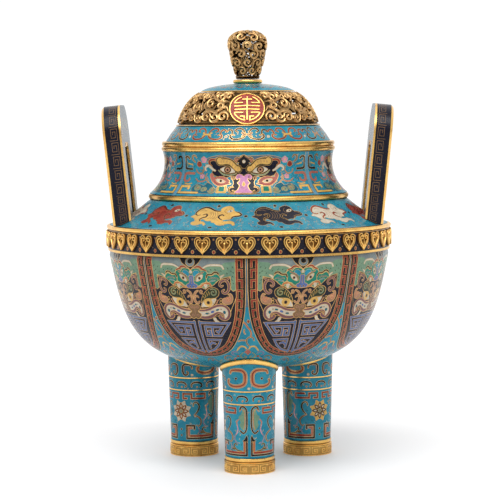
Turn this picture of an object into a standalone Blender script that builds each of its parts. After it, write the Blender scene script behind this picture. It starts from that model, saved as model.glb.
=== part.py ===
"""Cloisonne tripod incense burner with a pierced gilt lid, at its real size in metres, +Z up.

The origin is the middle of the three feet, on the surface they stand on. The front leg is
at -Y, the other two are behind it, and the two loop handles stand at -X and +X.
"""

import math

import bmesh
import bpy
from mathutils import Matrix, Vector
from mathutils.geometry import interpolate_bezier

GAP = 0.0003
MERGE = 0.00001
SHARP_ANGLE = math.radians(32)
FRONT = -math.pi / 2

# Facets of the turned pieces, and points along their curves
BOWL_FACETS = 30
BELT_FACETS = 42
LID_FACETS = 24
LEG_FACETS = 16
KNOB_FACETS = 12
BOWL_POINTS = 9
INSIDE_POINTS = 5
NECK_POINTS = 4
DOME_POINTS = 4
KNOB_POINTS = 4

# Bowl, shoulder and neck: raised shells that meet under the gilt rings, and the pulls that
# shape their curves
WALL = 0.0030
BOWL_RADIUS = 0.1395
BOWL_BOTTOM_Z = 0.0940
BOWL_HEIGHT = 0.1140
BOWL_BELLY = 0.1180
BOWL_SIDE_PULL = (-0.0140, -0.0700)
BELT_SEAT_INSET = 0.0010
BELT_SEAT_HEIGHT = 0.0303
BELT_SEAT_FOOT = 0.0044
SHOULDER_EASE = 0.0055
SHOULDER_LIFT = 0.0011
SHOULDER_RISE = 0.0242
SHOULDER_HOLLOW = 0.0010
NECK_FOOT_RADIUS = 0.0985
NECK_SEAT_DEPTH = 0.0022
NECK_RING_HEIGHT = 0.0056
NECK_HEIGHT = 0.0415
NECK_TOP_RADIUS = 0.0852
NECK_TOP_PULL = (-0.0042, -0.0147)
NECK_FOOT_PULL = (-0.0129, 0.0104)

# Gilt rings around the shell, and how far each stands out from what carries it
NECK_RING_PROUD = 0.0013
BELT_THICKNESS = 0.0012
BEAD_HEIGHT = 0.0026
BEAD_PROUD = 0.0008
MOULDING_THICKNESS = 0.0032
MOULDING_HEIGHT = 0.0040
MOUTH_RIM_PROUD = 0.0014
MOUTH_RIM_WIDTH = 0.0054
MOUTH_RIM_HEIGHT = 0.0044
RING_ROUNDING = 0.0009

# Hearts on the belt
HEART_WIDTH = 0.0168
HEART_HEIGHT = 0.0170
HEART_PROUD = 0.0038
HEART_ROOT = 0.0008
HEART_TAPER = 0.84
HEART_POINTS = 8

# Lid
LID_WALL = 0.0025
LID_RIM_INSET = 0.0005
LID_RIM_HEIGHT = 0.0047
FLANGE_CLEARANCE = 0.0010
FLANGE_DEPTH = 0.0070
FLANGE_WALL = 0.0020
SKIRT_INSET = 0.0041
SKIRT_TOP_RADIUS = 0.0715
SKIRT_HEIGHT = 0.0145
SKIRT_SWELL = 0.0005
DOME_WALL = 0.0030
DOME_RING_PROUD = 0.0005
DOME_RING_HEIGHT = 0.0013
DOME_INSET = 0.0018
DOME_HEIGHT = 0.0322
DOME_TOP_RADIUS = 0.0470
DOME_FOOT_PULL = (-0.0015, 0.0103)
DOME_TOP_PULL = (0.0127, -0.0052)
DOME_LEDGE = 0.0038
DOME_LEDGE_DEPTH = 0.0024
CAP_INSET = 0.0005
CAP_EDGE = 0.0008
CAP_RISE = 0.0078
CAP_SHOULDER = (0.0385, 0.0042)
CAP_CROWN_RADIUS = 0.0200
CAP_CROWN_DROP = 0.0004

ROUNDEL_COUNT = 2
ROUNDEL_RADIUS = 0.0172
ROUNDEL_THICKNESS = 0.0040
ROUNDEL_PROUD = 0.0004
ROUNDEL_CROWN = 0.0022
ROUNDEL_BORDER = 0.0014
ROUNDEL_SUNK = 0.0006
ROUNDEL_REACH = 0.0120

# Rows of pierced holes between two roundels: share of the dome's height, count, width,
# height and lean of each
DOME_HOLES = (
    (0.20, 5, 0.0170, 0.0075, 14.0),
    (0.52, 4, 0.0160, 0.0080, -24.0),
    (0.80, 3, 0.0150, 0.0060, 10.0),
)

# Knob and the collar under it
COLLAR_RADIUS = 0.0146
COLLAR_HEIGHT = 0.0041
COLLAR_ROUNDING = 0.0012
KNOB_WALL = 0.0024
KNOB_FOOT_RADIUS = 0.0123
KNOB_SHOULDER_RADIUS = 0.0198
KNOB_SHOULDER_HEIGHT = 0.0375
KNOB_CROWN_HEIGHT = 0.0113
KNOB_FOOT_PULL = (0.0022, 0.0130)
KNOB_SHOULDER_PULL = (0.0005, -0.0105)
KNOB_ROUND_PULL = (-0.0005, 0.0070)
KNOB_TOP_PULL = 0.0110
# Rows of pierced holes: share of the knob's height, count, first turn, width and height
KNOB_HOLES = (
    (0.20, 4, 20.0, 0.0060, 0.0065),
    (0.46, 5, 50.0, 0.0080, 0.0070),
    (0.72, 5, 15.0, 0.0085, 0.0070),
)

# Handles
HANDLE_INSET = 0.0160
HANDLE_THICKNESS = 0.0182
HANDLE_DEPTH = 0.1040
HANDLE_BAR = 0.0280
HANDLE_TOP_BAR = 0.0370
HANDLE_HEIGHT = 0.1178
HANDLE_ROOT = 0.0120
HANDLE_LEAN = math.radians(5.9)
HANDLE_CORNER = 0.0300
HANDLE_INNER_CORNER = 0.0100
HANDLE_CORNER_POINTS = 5
HANDLE_INNER_POINTS = 3
HANDLE_CHAMFER = 0.0024

# Legs and feet
LEG_COUNT = 3
LEG_CIRCLE = 0.0670
LEG_FOOT_RADIUS = 0.0238
LEG_TOP_RADIUS = 0.0262
LEG_WALL = 0.0030
LEG_COLLAR_WALL = 0.0022
LEG_COLLAR_DEPTH = 0.0047
FOOT_RADIUS = 0.0249
FOOT_BAND_HEIGHT = 0.0107
FOOT_NECK_INSET = 0.0013
FOOT_NECK_HEIGHT = 0.0012
FOOT_HEIGHT = 0.0150
FOOT_LIP_INSET = 0.0005
FOOT_FLOOR = 0.0030
FOOT_WALL = 0.0040

# Radii and heights that follow from the sizes above
BELT_SEAT_RADIUS = BOWL_RADIUS - BELT_SEAT_INSET
BELT_BORE_RADIUS = (BELT_SEAT_RADIUS + GAP) / math.cos(math.pi / BELT_FACETS)
BELT_RADIUS = BELT_BORE_RADIUS + BELT_THICKNESS
NECK_SEAT_RADIUS = NECK_FOOT_RADIUS - NECK_SEAT_DEPTH
MOUTH_RIM_RADIUS = NECK_TOP_RADIUS + MOUTH_RIM_PROUD
MOUTH_RADIUS = MOUTH_RIM_RADIUS - MOUTH_RIM_WIDTH
LID_RIM_RADIUS = MOUTH_RIM_RADIUS - LID_RIM_INSET
SKIRT_FOOT_RADIUS = LID_RIM_RADIUS - SKIRT_INSET
DOME_RING_RADIUS = SKIRT_TOP_RADIUS + DOME_RING_PROUD
DOME_FOOT_RADIUS = DOME_RING_RADIUS - DOME_INSET

BOWL_RIM_Z = BOWL_BOTTOM_Z + BOWL_HEIGHT
BELT_Z = BOWL_RIM_Z + BELT_SEAT_FOOT
SHOULDER_Z = BOWL_RIM_Z + BELT_SEAT_HEIGHT
BOWL_SEAM_Z = (BELT_Z + SHOULDER_Z) / 2
MOULDING_Z = SHOULDER_Z - GAP - MOULDING_HEIGHT
BELT_HEIGHT = MOULDING_Z - GAP - BELT_Z
NECK_FOOT_Z = SHOULDER_Z + SHOULDER_RISE
NECK_RING_Z = NECK_FOOT_Z + GAP
NECK_SEAM_Z = NECK_RING_Z + NECK_RING_HEIGHT / 2
NECK_Z = NECK_RING_Z + NECK_RING_HEIGHT + GAP
NECK_TOP_Z = NECK_Z + NECK_HEIGHT
MOUTH_RIM_Z = NECK_TOP_Z + GAP
LID_RIM_Z = MOUTH_RIM_Z + MOUTH_RIM_HEIGHT + GAP
SKIRT_Z = LID_RIM_Z + LID_RIM_HEIGHT + GAP
DOME_RING_Z = SKIRT_Z + SKIRT_HEIGHT + GAP
DOME_Z = DOME_RING_Z + DOME_RING_HEIGHT
CAP_Z = DOME_Z + DOME_HEIGHT + GAP
COLLAR_Z = CAP_Z + CAP_RISE + GAP
KNOB_Z = COLLAR_Z + COLLAR_HEIGHT + GAP
KNOB_HEIGHT = KNOB_SHOULDER_HEIGHT + KNOB_CROWN_HEIGHT


def clear_scene():
    for existing in list(bpy.data.objects):
        bpy.data.objects.remove(existing)


def new_collection(name):
    collection = bpy.data.collections.new(name)
    bpy.context.scene.collection.children.link(collection)
    return collection


def new_material(name, colour, roughness, metallic):
    material = bpy.data.materials.new(name)
    material.use_nodes = True
    shader = material.node_tree.nodes["Principled BSDF"]
    shader.inputs["Base Color"].default_value = (*colour, 1.0)
    shader.inputs["Roughness"].default_value = roughness
    shader.inputs["Metallic"].default_value = metallic
    material.diffuse_color = (*colour, 1.0)
    return material


def add_object(name, mesh, collection, material=None):
    """An object at the origin. One without a material is a cutter."""
    made = bpy.data.objects.new(name, mesh)
    collection.objects.link(made)
    if material is None:
        made.hide_render = True
        made.display_type = "WIRE"
    else:
        mesh.materials.append(material)
    return made


def shifted(point, pull):
    return (point[0] + pull[0], point[1] + pull[1])


def curve_points(start, start_pull, end_pull, end, count):
    """Points (radius, height) along one smooth stretch, both ends included. Pulls are steps."""
    handles = (start, shifted(start, start_pull), shifted(end, end_pull), end)
    flat = [Vector((radius, height, 0)) for radius, height in handles]
    return [(point.x, point.y) for point in interpolate_bezier(*flat, count)]


def offset_profile(points, distance):
    """The points moved inward, for a line that runs down an outer side. Axis points stay on it."""
    moved = []
    last = len(points) - 1
    for index, point in enumerate(points):
        here = Vector(point)
        before = Vector(points[max(index - 1, 0)])
        after = Vector(points[min(index + 1, last)])
        first = (here - before if index else after - here).normalized()
        second = (after - here if index < last else here - before).normalized()
        along = (first + second).normalized()
        side = Vector((along.y, -along.x)) * (distance / along.dot(first))
        if abs(here.x) < MERGE:
            moved.append((0.0, here.y + math.copysign(distance, side.y)))
        else:
            moved.append(tuple(here + side))
    return moved


def turned(name, profile, facets, collection, material=None):
    """A line of (radius, height) points that runs down its outer side, turned about +Z.

    A line whose two ends are on the axis stays open there, and any other is closed.
    """
    mesh = bpy.data.meshes.new(name)
    drawn = bmesh.new()
    corners = [drawn.verts.new((radius, 0.0, height)) for radius, height in profile]
    for start, end in zip(corners, corners[1:]):
        drawn.edges.new((start, end))
    if profile[0][0] > MERGE:
        drawn.edges.new((corners[-1], corners[0]))
    drawn.to_mesh(mesh)
    drawn.free()
    made = add_object(name, mesh, collection, material)
    screw = made.modifiers.new("turn", "SCREW")
    screw.axis = "Z"
    screw.steps = facets
    screw.render_steps = facets
    screw.use_merge_vertices = True
    screw.merge_threshold = MERGE
    return made


def boolean(target, cutter, operation="DIFFERENCE"):
    step = target.modifiers.new(cutter.name, "BOOLEAN")
    step.operation = operation
    step.object = cutter
    step.solver = "EXACT"


def settle(made):
    """Puts the modifiers into the mesh, and shades it smooth between its sharp edges."""
    graph = bpy.context.evaluated_depsgraph_get()
    mesh = bpy.data.meshes.new_from_object(made.evaluated_get(graph))
    made.modifiers.clear()
    made.data = mesh
    mesh.shade_smooth()
    mesh.set_sharp_from_angle(angle=SHARP_ANGLE)


def pushed_outline(outline, depth, taper=1.0):
    """A flat outline of (x, y) points, pushed from z = 0 up to a depth, as a bmesh."""
    shape = bmesh.new()
    face = shape.faces.new([shape.verts.new((x, y, 0.0)) for x, y in outline])
    pushed = bmesh.ops.extrude_face_region(shape, geom=[face])["geom"]
    tops = [item for item in pushed if isinstance(item, bmesh.types.BMVert)]
    bmesh.ops.scale(shape, verts=tops, vec=(taper, taper, 1.0))
    bmesh.ops.translate(shape, verts=tops, vec=(0.0, 0.0, depth))
    bmesh.ops.recalc_face_normals(shape, faces=shape.faces)
    return shape


def merged_cutter(name, shapes, collection):
    """Separate closed shapes, each with its place, put together into one cutter."""
    whole = bpy.data.meshes.new(name)
    gathered = bmesh.new()
    for shape, place in shapes:
        piece = bpy.data.meshes.new(name)
        shape.transform(place)
        shape.to_mesh(piece)
        shape.free()
        gathered.from_mesh(piece)
        bpy.data.meshes.remove(piece)
    gathered.to_mesh(whole)
    gathered.free()
    return add_object(name, whole, collection)


def facing(turn, radius, height, tilt=0.0):
    """A frame on an outer side: local +Z points out, and up by the tilt; local +Y runs up."""
    around = Matrix.Rotation(turn, 4, "Z")
    out = Matrix.Translation((radius, 0.0, height))
    lean = Matrix.Rotation(-tilt, 4, "Y")
    upright = Matrix.Rotation(math.pi / 2, 4, "Z") @ Matrix.Rotation(math.pi / 2, 4, "X")
    return around @ out @ lean @ upright


def surface_at(points, height):
    """Radius and upward tilt of a profile that runs down an outer side, at a height."""
    for (top_radius, top), (low_radius, low) in zip(points, points[1:]):
        if low <= height <= top:
            share = (height - low) / (top - low)
            radius = low_radius + (top_radius - low_radius) * share
            return radius, math.atan2(low_radius - top_radius, top - low)
    raise ValueError("the height is off the profile")


def arc(middle_x, middle_y, radius, start, end, count):
    turns = [start + (end - start) * step / (count - 1) for step in range(count)]
    return [(middle_x + radius * math.cos(turn), middle_y + radius * math.sin(turn)) for turn in turns]


def bowl_side(count):
    rim = (BOWL_RADIUS, BOWL_RIM_Z)
    return curve_points(rim, BOWL_SIDE_PULL, (BOWL_BELLY, 0.0), (0.0, BOWL_BOTTOM_Z), count)


def neck_side():
    top = (NECK_TOP_RADIUS, NECK_TOP_Z)
    return curve_points(top, NECK_TOP_PULL, NECK_FOOT_PULL, (NECK_FOOT_RADIUS, NECK_Z), NECK_POINTS)


def shoulder_side():
    """From the foot of the neck out and down to the edge over the belt."""
    eased = (BELT_SEAT_RADIUS - SHOULDER_EASE, SHOULDER_Z + SHOULDER_LIFT)
    top = (NECK_FOOT_RADIUS, NECK_FOOT_Z)
    middle = ((top[0] + eased[0]) / 2 - SHOULDER_HOLLOW, (top[1] + eased[1]) / 2 - SHOULDER_HOLLOW)
    return [top, middle, eased, (BELT_SEAT_RADIUS, SHOULDER_Z)]


def bowl_shell():
    """From the middle of the inside up over the seam under the belt, and down the outside."""
    inside = [(BELT_SEAT_RADIUS - WALL, BOWL_SEAM_Z), *offset_profile(bowl_side(INSIDE_POINTS), WALL)]
    seat = [(BELT_SEAT_RADIUS, BOWL_SEAM_Z), (BELT_SEAT_RADIUS, BELT_Z)]
    return [*reversed(inside), *seat, *bowl_side(BOWL_POINTS)]


def shoulder_shell():
    """Down the outside, from the seam under the neck ring to the one under the belt."""
    side = shoulder_side()
    inside = offset_profile(side, WALL)
    foot_z = BOWL_SEAM_Z + GAP
    return [
        (NECK_SEAT_RADIUS, NECK_SEAM_Z),
        (NECK_SEAT_RADIUS, NECK_FOOT_Z),
        *side,
        (BELT_SEAT_RADIUS, foot_z),
        (BELT_SEAT_RADIUS - WALL, foot_z),
        (BELT_SEAT_RADIUS - WALL, inside[2][1] - WALL / 2),
        inside[1],
        (NECK_SEAT_RADIUS - WALL, NECK_FOOT_Z - WALL / 2),
        (NECK_SEAT_RADIUS - WALL, NECK_SEAM_Z),
    ]


def neck_shell():
    """Down the outside, from the mouth to the seam under the neck ring."""
    side = neck_side()
    inside = offset_profile(side, WALL)
    foot_z = NECK_SEAM_Z + GAP
    return [
        *side,
        (NECK_SEAT_RADIUS, NECK_Z),
        (NECK_SEAT_RADIUS, foot_z),
        (NECK_SEAT_RADIUS - WALL, foot_z),
        (NECK_SEAT_RADIUS - WALL, NECK_Z),
        *reversed(inside[1:-1]),
        (NECK_TOP_RADIUS - WALL, NECK_TOP_Z),
    ]


def ring_profile(inner, outer, bottom, height):
    """A ring with a flat foot and top, and a rounded outside."""
    top = bottom + height
    return [
        (inner, top),
        (outer - RING_ROUNDING, top),
        (outer, (bottom + top) / 2),
        (outer - RING_ROUNDING, bottom),
        (inner, bottom),
    ]


def add_vessel(pieces, enamel, gilt):
    turned("vessel_bowl", bowl_shell(), BOWL_FACETS, pieces, enamel)
    turned("vessel_shoulder", shoulder_shell(), BOWL_FACETS, pieces, enamel)
    turned("vessel_neck", neck_shell(), BOWL_FACETS, pieces, enamel)
    neck_ring = ring_profile(
        NECK_SEAT_RADIUS + GAP, NECK_FOOT_RADIUS + NECK_RING_PROUD, NECK_RING_Z, NECK_RING_HEIGHT
    )
    turned("neck_ring", neck_ring, BOWL_FACETS, pieces, gilt)
    seat = BELT_SEAT_RADIUS + GAP
    moulding = ring_profile(seat, seat + MOULDING_THICKNESS, MOULDING_Z, MOULDING_HEIGHT)
    turned("shoulder_moulding", moulding, BOWL_FACETS, pieces, gilt)
    mouth_rim = ring_profile(MOUTH_RADIUS, MOUTH_RIM_RADIUS, MOUTH_RIM_Z, MOUTH_RIM_HEIGHT)
    turned("mouth_rim", mouth_rim, LID_FACETS, pieces, gilt)


def heart_outline():
    """A heart with two lobes above a point, centred on its own box."""
    turns = [2 * math.pi * step / HEART_POINTS for step in range(HEART_POINTS)]
    across = [math.sin(turn) ** 3 for turn in turns]
    up = [
        13 * math.cos(turn) - 5 * math.cos(2 * turn) - 2 * math.cos(3 * turn) - math.cos(4 * turn)
        for turn in turns
    ]
    middle = (max(up) + min(up)) / 2
    width = HEART_WIDTH / 2 / max(across)
    height = HEART_HEIGHT / (max(up) - min(up))
    return [(x * width, (y - middle) * height) for x, y in zip(across, up)]


def add_belt(pieces, cutters, enamel):
    """The belt with its lower bead, and one heart in the middle of each facet."""
    field_z = BELT_Z + BEAD_HEIGHT
    profile = [
        (BELT_BORE_RADIUS, BELT_Z + BELT_HEIGHT),
        (BELT_RADIUS, BELT_Z + BELT_HEIGHT),
        (BELT_RADIUS, field_z),
        (BELT_RADIUS + BEAD_PROUD, (field_z + BELT_Z) / 2),
        (BELT_BORE_RADIUS, BELT_Z),
    ]
    belt = turned("heart_belt", profile, BELT_FACETS, pieces, enamel)
    flat_radius = BELT_RADIUS * math.cos(math.pi / BELT_FACETS)
    middle_z = (field_z + BELT_Z + BELT_HEIGHT) / 2
    hearts = []
    for step in range(BELT_FACETS):
        turn = 2 * math.pi * (step + 0.5) / BELT_FACETS
        shape = pushed_outline(heart_outline(), HEART_ROOT + HEART_PROUD, HEART_TAPER)
        hearts.append((shape, facing(turn, flat_radius - HEART_ROOT, middle_z)))
    boolean(belt, merged_cutter("heart_bosses", hearts, cutters), "UNION")


def handle_outline():
    """A loop open at its foot, seen along the way it is thick."""
    half = HANDLE_DEPTH / 2
    inner = half - HANDLE_BAR
    top = HANDLE_HEIGHT - HANDLE_TOP_BAR
    outer_x = half - HANDLE_CORNER
    outer_y = HANDLE_HEIGHT - HANDLE_CORNER
    inner_x = inner - HANDLE_INNER_CORNER
    inner_y = top - HANDLE_INNER_CORNER
    return [
        (half, -HANDLE_ROOT),
        *arc(outer_x, outer_y, HANDLE_CORNER, 0, math.pi / 2, HANDLE_CORNER_POINTS),
        *arc(-outer_x, outer_y, HANDLE_CORNER, math.pi / 2, math.pi, HANDLE_CORNER_POINTS),
        (-half, -HANDLE_ROOT),
        (-inner, -HANDLE_ROOT),
        *arc(-inner_x, inner_y, HANDLE_INNER_CORNER, math.pi, math.pi / 2, HANDLE_INNER_POINTS),
        *arc(inner_x, inner_y, HANDLE_INNER_CORNER, math.pi / 2, 0, HANDLE_INNER_POINTS),
        (inner, -HANDLE_ROOT),
    ]


def handle_shape():
    """The loop with its outer edge chamfered on the side away from the bowl."""
    outline = handle_outline()
    shape = pushed_outline(outline, HANDLE_THICKNESS)
    outer = [Vector((x, y, HANDLE_THICKNESS)) for x, y in outline[: 2 * HANDLE_CORNER_POINTS + 2]]
    rim = [
        edge
        for edge in shape.edges
        if all(any((vert.co - corner).length < MERGE for corner in outer) for vert in edge.verts)
        and edge.calc_face_angle() > SHARP_ANGLE
    ]
    bmesh.ops.bevel(
        shape, geom=rim, offset=HANDLE_CHAMFER, segments=1, profile=0.5, affect="EDGES", material=-1
    )
    return shape


def add_handles(pieces, cutters, enamel):
    clear = offset_profile(shoulder_side(), -GAP)
    seat_profile = [
        (0.0, clear[0][1]),
        *clear[:-1],
        (BELT_SEAT_RADIUS, clear[-1][1]),
        (BELT_RADIUS + HANDLE_DEPTH, clear[-1][1]),
        (BELT_RADIUS + HANDLE_DEPTH, BELT_Z),
        (0.0, BELT_Z),
    ]
    seat = turned("shoulder_seat", seat_profile, BOWL_FACETS, cutters)
    for side, turn in (("left", math.pi), ("right", 0.0)):
        mesh = bpy.data.meshes.new("handle")
        shape = handle_shape()
        shape.transform(Matrix.Translation((0.0, 0.0, -HANDLE_THICKNESS / 2)))
        shape.to_mesh(mesh)
        shape.free()
        handle = add_object(f"handle_{side}", mesh, pieces, enamel)
        handle.matrix_world = facing(turn, BELT_SEAT_RADIUS - HANDLE_INSET, SHOULDER_Z, -HANDLE_LEAN)
        boolean(handle, seat)


def bowl_cutter(name, clearance, cutters):
    """The bowl as a solid body, grown on its outside by a clearance."""
    side = offset_profile(bowl_side(BOWL_POINTS), -clearance)
    return turned(name, [(0.0, BOWL_RIM_Z), *side], BOWL_FACETS, cutters)


def add_legs(pieces, cutters, enamel, gilt):
    seat = bowl_cutter("bowl_seat", GAP, cutters)
    collar_reach = bowl_cutter("collar_reach", GAP + LEG_COLLAR_DEPTH, cutters)
    foot_z = FOOT_HEIGHT + GAP
    reach_z = BOWL_BOTTOM_Z + BOWL_HEIGHT / 2
    leg_profile = [
        (LEG_TOP_RADIUS, reach_z),
        (LEG_TOP_RADIUS, BOWL_BOTTOM_Z),
        (LEG_FOOT_RADIUS, foot_z),
        (LEG_FOOT_RADIUS - LEG_WALL, foot_z),
        (LEG_TOP_RADIUS - LEG_WALL, BOWL_BOTTOM_Z),
        (LEG_TOP_RADIUS - LEG_WALL, reach_z),
    ]
    bore = LEG_TOP_RADIUS + GAP
    collar_profile = [
        (bore + LEG_COLLAR_WALL, reach_z),
        (bore + LEG_COLLAR_WALL, foot_z),
        (bore, foot_z),
        (bore, reach_z),
    ]
    neck_z = FOOT_BAND_HEIGHT + FOOT_NECK_HEIGHT
    foot_profile = [
        (0.0, FOOT_FLOOR),
        (FOOT_RADIUS - FOOT_WALL, FOOT_FLOOR),
        (FOOT_RADIUS - FOOT_WALL, FOOT_HEIGHT),
        (FOOT_RADIUS - FOOT_LIP_INSET, FOOT_HEIGHT),
        (FOOT_RADIUS - FOOT_NECK_INSET, neck_z),
        (FOOT_RADIUS, FOOT_BAND_HEIGHT),
        (FOOT_RADIUS, 0.0),
        (0.0, 0.0),
    ]
    for number, place in enumerate(("front", "right", "left")):
        turn = FRONT + 2 * math.pi * number / LEG_COUNT
        middle = Matrix.Rotation(turn, 4, "Z") @ Matrix.Translation((LEG_CIRCLE, 0.0, 0.0))
        leg = turned(f"leg_{place}", leg_profile, LEG_FACETS, pieces, enamel)
        collar = turned(f"leg_collar_{place}", collar_profile, LEG_FACETS, pieces, gilt)
        foot = turned(f"foot_{place}", foot_profile, LEG_FACETS, pieces, gilt)
        for piece in (leg, collar, foot):
            piece.matrix_world = middle
        boolean(leg, seat)
        boolean(collar, seat)
        boolean(collar, collar_reach, "INTERSECT")


def dome_side():
    top = (DOME_TOP_RADIUS, DOME_Z + DOME_HEIGHT)
    return curve_points(top, DOME_TOP_PULL, DOME_FOOT_PULL, (DOME_FOOT_RADIUS, DOME_Z), DOME_POINTS)


def hole_shape(width, height, lean, depth):
    """A six-sided pierced hole with soft ends, leaning in its own plane."""
    sides = [(width / 2, 0.0), (width / 5, height / 2), (-width / 5, height / 2)]
    outline = sides + [(-x, -y) for x, y in sides]
    shape = pushed_outline(outline, 2 * depth)
    shape.transform(Matrix.Rotation(math.radians(lean), 4, "Z") @ Matrix.Translation((0.0, 0.0, -depth)))
    return shape


def add_lid(pieces, cutters, enamel, gilt):
    rim_top = LID_RIM_Z + LID_RIM_HEIGHT
    flange = MOUTH_RADIUS - FLANGE_CLEARANCE
    rim = [
        (flange - FLANGE_WALL, rim_top),
        (LID_RIM_RADIUS - RING_ROUNDING, rim_top),
        (LID_RIM_RADIUS, rim_top - RING_ROUNDING),
        (LID_RIM_RADIUS, LID_RIM_Z + RING_ROUNDING),
        (LID_RIM_RADIUS - RING_ROUNDING, LID_RIM_Z),
        (flange, LID_RIM_Z),
        (flange, LID_RIM_Z - FLANGE_DEPTH),
        (flange - FLANGE_WALL, LID_RIM_Z - FLANGE_DEPTH),
    ]
    turned("lid_rim", rim, LID_FACETS, pieces, gilt)
    middle_radius = (SKIRT_FOOT_RADIUS + SKIRT_TOP_RADIUS) / 2 + SKIRT_SWELL
    middle_z = SKIRT_Z + SKIRT_HEIGHT / 2
    outside = [
        (SKIRT_TOP_RADIUS, SKIRT_Z + SKIRT_HEIGHT),
        (middle_radius, middle_z),
        (SKIRT_FOOT_RADIUS, SKIRT_Z),
    ]
    across = LID_WALL * math.hypot(SKIRT_HEIGHT, SKIRT_FOOT_RADIUS - SKIRT_TOP_RADIUS) / SKIRT_HEIGHT
    inside = [(radius - across, height) for radius, height in reversed(outside)]
    turned("lid_skirt", [*outside, *inside], LID_FACETS, pieces, enamel)
    cap_edge = DOME_TOP_RADIUS - CAP_INSET
    cap_top = CAP_Z + CAP_RISE
    cap = [
        (0.0, cap_top),
        (COLLAR_RADIUS + CAP_EDGE, cap_top),
        (CAP_CROWN_RADIUS, cap_top - CAP_CROWN_DROP),
        (CAP_SHOULDER[0], CAP_Z + CAP_SHOULDER[1]),
        (cap_edge, CAP_Z + CAP_EDGE),
        (cap_edge, CAP_Z),
        (cap_edge - DOME_LEDGE, CAP_Z),
        (CAP_SHOULDER[0] - LID_WALL, CAP_Z + CAP_SHOULDER[1] - LID_WALL),
        (CAP_CROWN_RADIUS, cap_top - CAP_CROWN_DROP - LID_WALL),
        (0.0, cap_top - LID_WALL),
    ]
    turned("lid_cap", cap, LID_FACETS, pieces, enamel)


def add_dome(pieces, cutters, gilt):
    """The pierced dome, cut out for the roundels and open between them."""
    side = dome_side()
    inside = offset_profile(side, DOME_WALL)
    ledge_radius = DOME_TOP_RADIUS - DOME_LEDGE
    dome_top = DOME_Z + DOME_HEIGHT
    profile = [
        *side,
        (DOME_RING_RADIUS, DOME_Z),
        (DOME_RING_RADIUS, DOME_RING_Z),
        (DOME_FOOT_RADIUS - DOME_WALL, DOME_RING_Z),
        *reversed(inside[1:-1]),
        (ledge_radius, dome_top - DOME_LEDGE_DEPTH),
        (ledge_radius, dome_top),
    ]
    dome = turned("lid_dome", profile, LID_FACETS, pieces, gilt)
    holes = []
    seats = []
    depth = 2 * DOME_WALL
    between = 2 * math.pi / ROUNDEL_COUNT
    radius, tilt = surface_at(side, DOME_Z + DOME_HEIGHT / 2)
    roundel_half = math.asin((ROUNDEL_RADIUS + ROUNDEL_BORDER) / radius)
    for number in range(ROUNDEL_COUNT):
        turn = FRONT + between * number
        seats.append((roundel_seat(), facing(turn, radius, DOME_Z + DOME_HEIGHT / 2, tilt)))
        for share, count, width, height, lean in DOME_HOLES:
            hole_radius, hole_tilt = surface_at(side, DOME_Z + DOME_HEIGHT * share)
            free = between - 2 * roundel_half
            for step in range(count):
                hole_turn = turn + roundel_half + free * (step + 0.5) / count
                way = lean if step < count / 2 else -lean
                place = facing(hole_turn, hole_radius, DOME_Z + DOME_HEIGHT * share, hole_tilt)
                holes.append((hole_shape(width, height, way, depth), place))
    boolean(dome, merged_cutter("dome_holes", holes, cutters))
    boolean(dome, merged_cutter("roundel_seats", seats, cutters))


def roundel_seat():
    shape = bmesh.new()
    bmesh.ops.create_cone(
        shape,
        cap_ends=True,
        segments=LEG_FACETS,
        radius1=ROUNDEL_RADIUS + GAP,
        radius2=ROUNDEL_RADIUS + GAP,
        depth=2 * ROUNDEL_REACH,
    )
    return shape


def add_roundels(pieces, enamel):
    """Crowned discs with a raised border, set in the dome at the front and the back."""
    radius, tilt = surface_at(dome_side(), DOME_Z + DOME_HEIGHT / 2)
    field = ROUNDEL_RADIUS - ROUNDEL_BORDER
    profile = [
        (0.0, 0.0),
        (field / 2, -ROUNDEL_CROWN / 4),
        (field, -ROUNDEL_CROWN),
        (field, -ROUNDEL_CROWN + ROUNDEL_SUNK),
        (ROUNDEL_RADIUS, -ROUNDEL_CROWN + ROUNDEL_SUNK),
        (ROUNDEL_RADIUS, -ROUNDEL_THICKNESS),
        (0.0, -ROUNDEL_THICKNESS),
    ]
    for number, place in enumerate(("front", "back")):
        roundel = turned(f"lid_roundel_{place}", profile, LEG_FACETS, pieces, enamel)
        turn = FRONT + 2 * math.pi * number / ROUNDEL_COUNT
        frame = facing(turn, radius, DOME_Z + DOME_HEIGHT / 2, tilt)
        roundel.matrix_world = frame @ Matrix.Translation((0.0, 0.0, ROUNDEL_PROUD))


def knob_side():
    shoulder = (KNOB_SHOULDER_RADIUS, KNOB_Z + KNOB_SHOULDER_HEIGHT)
    foot = (KNOB_FOOT_RADIUS, KNOB_Z)
    top = (0.0, KNOB_Z + KNOB_HEIGHT)
    crown = curve_points(top, (KNOB_TOP_PULL, 0.0), KNOB_ROUND_PULL, shoulder, KNOB_POINTS)
    stem = curve_points(shoulder, KNOB_SHOULDER_PULL, KNOB_FOOT_PULL, foot, KNOB_POINTS)
    return [*crown, *stem[1:]]


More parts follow.
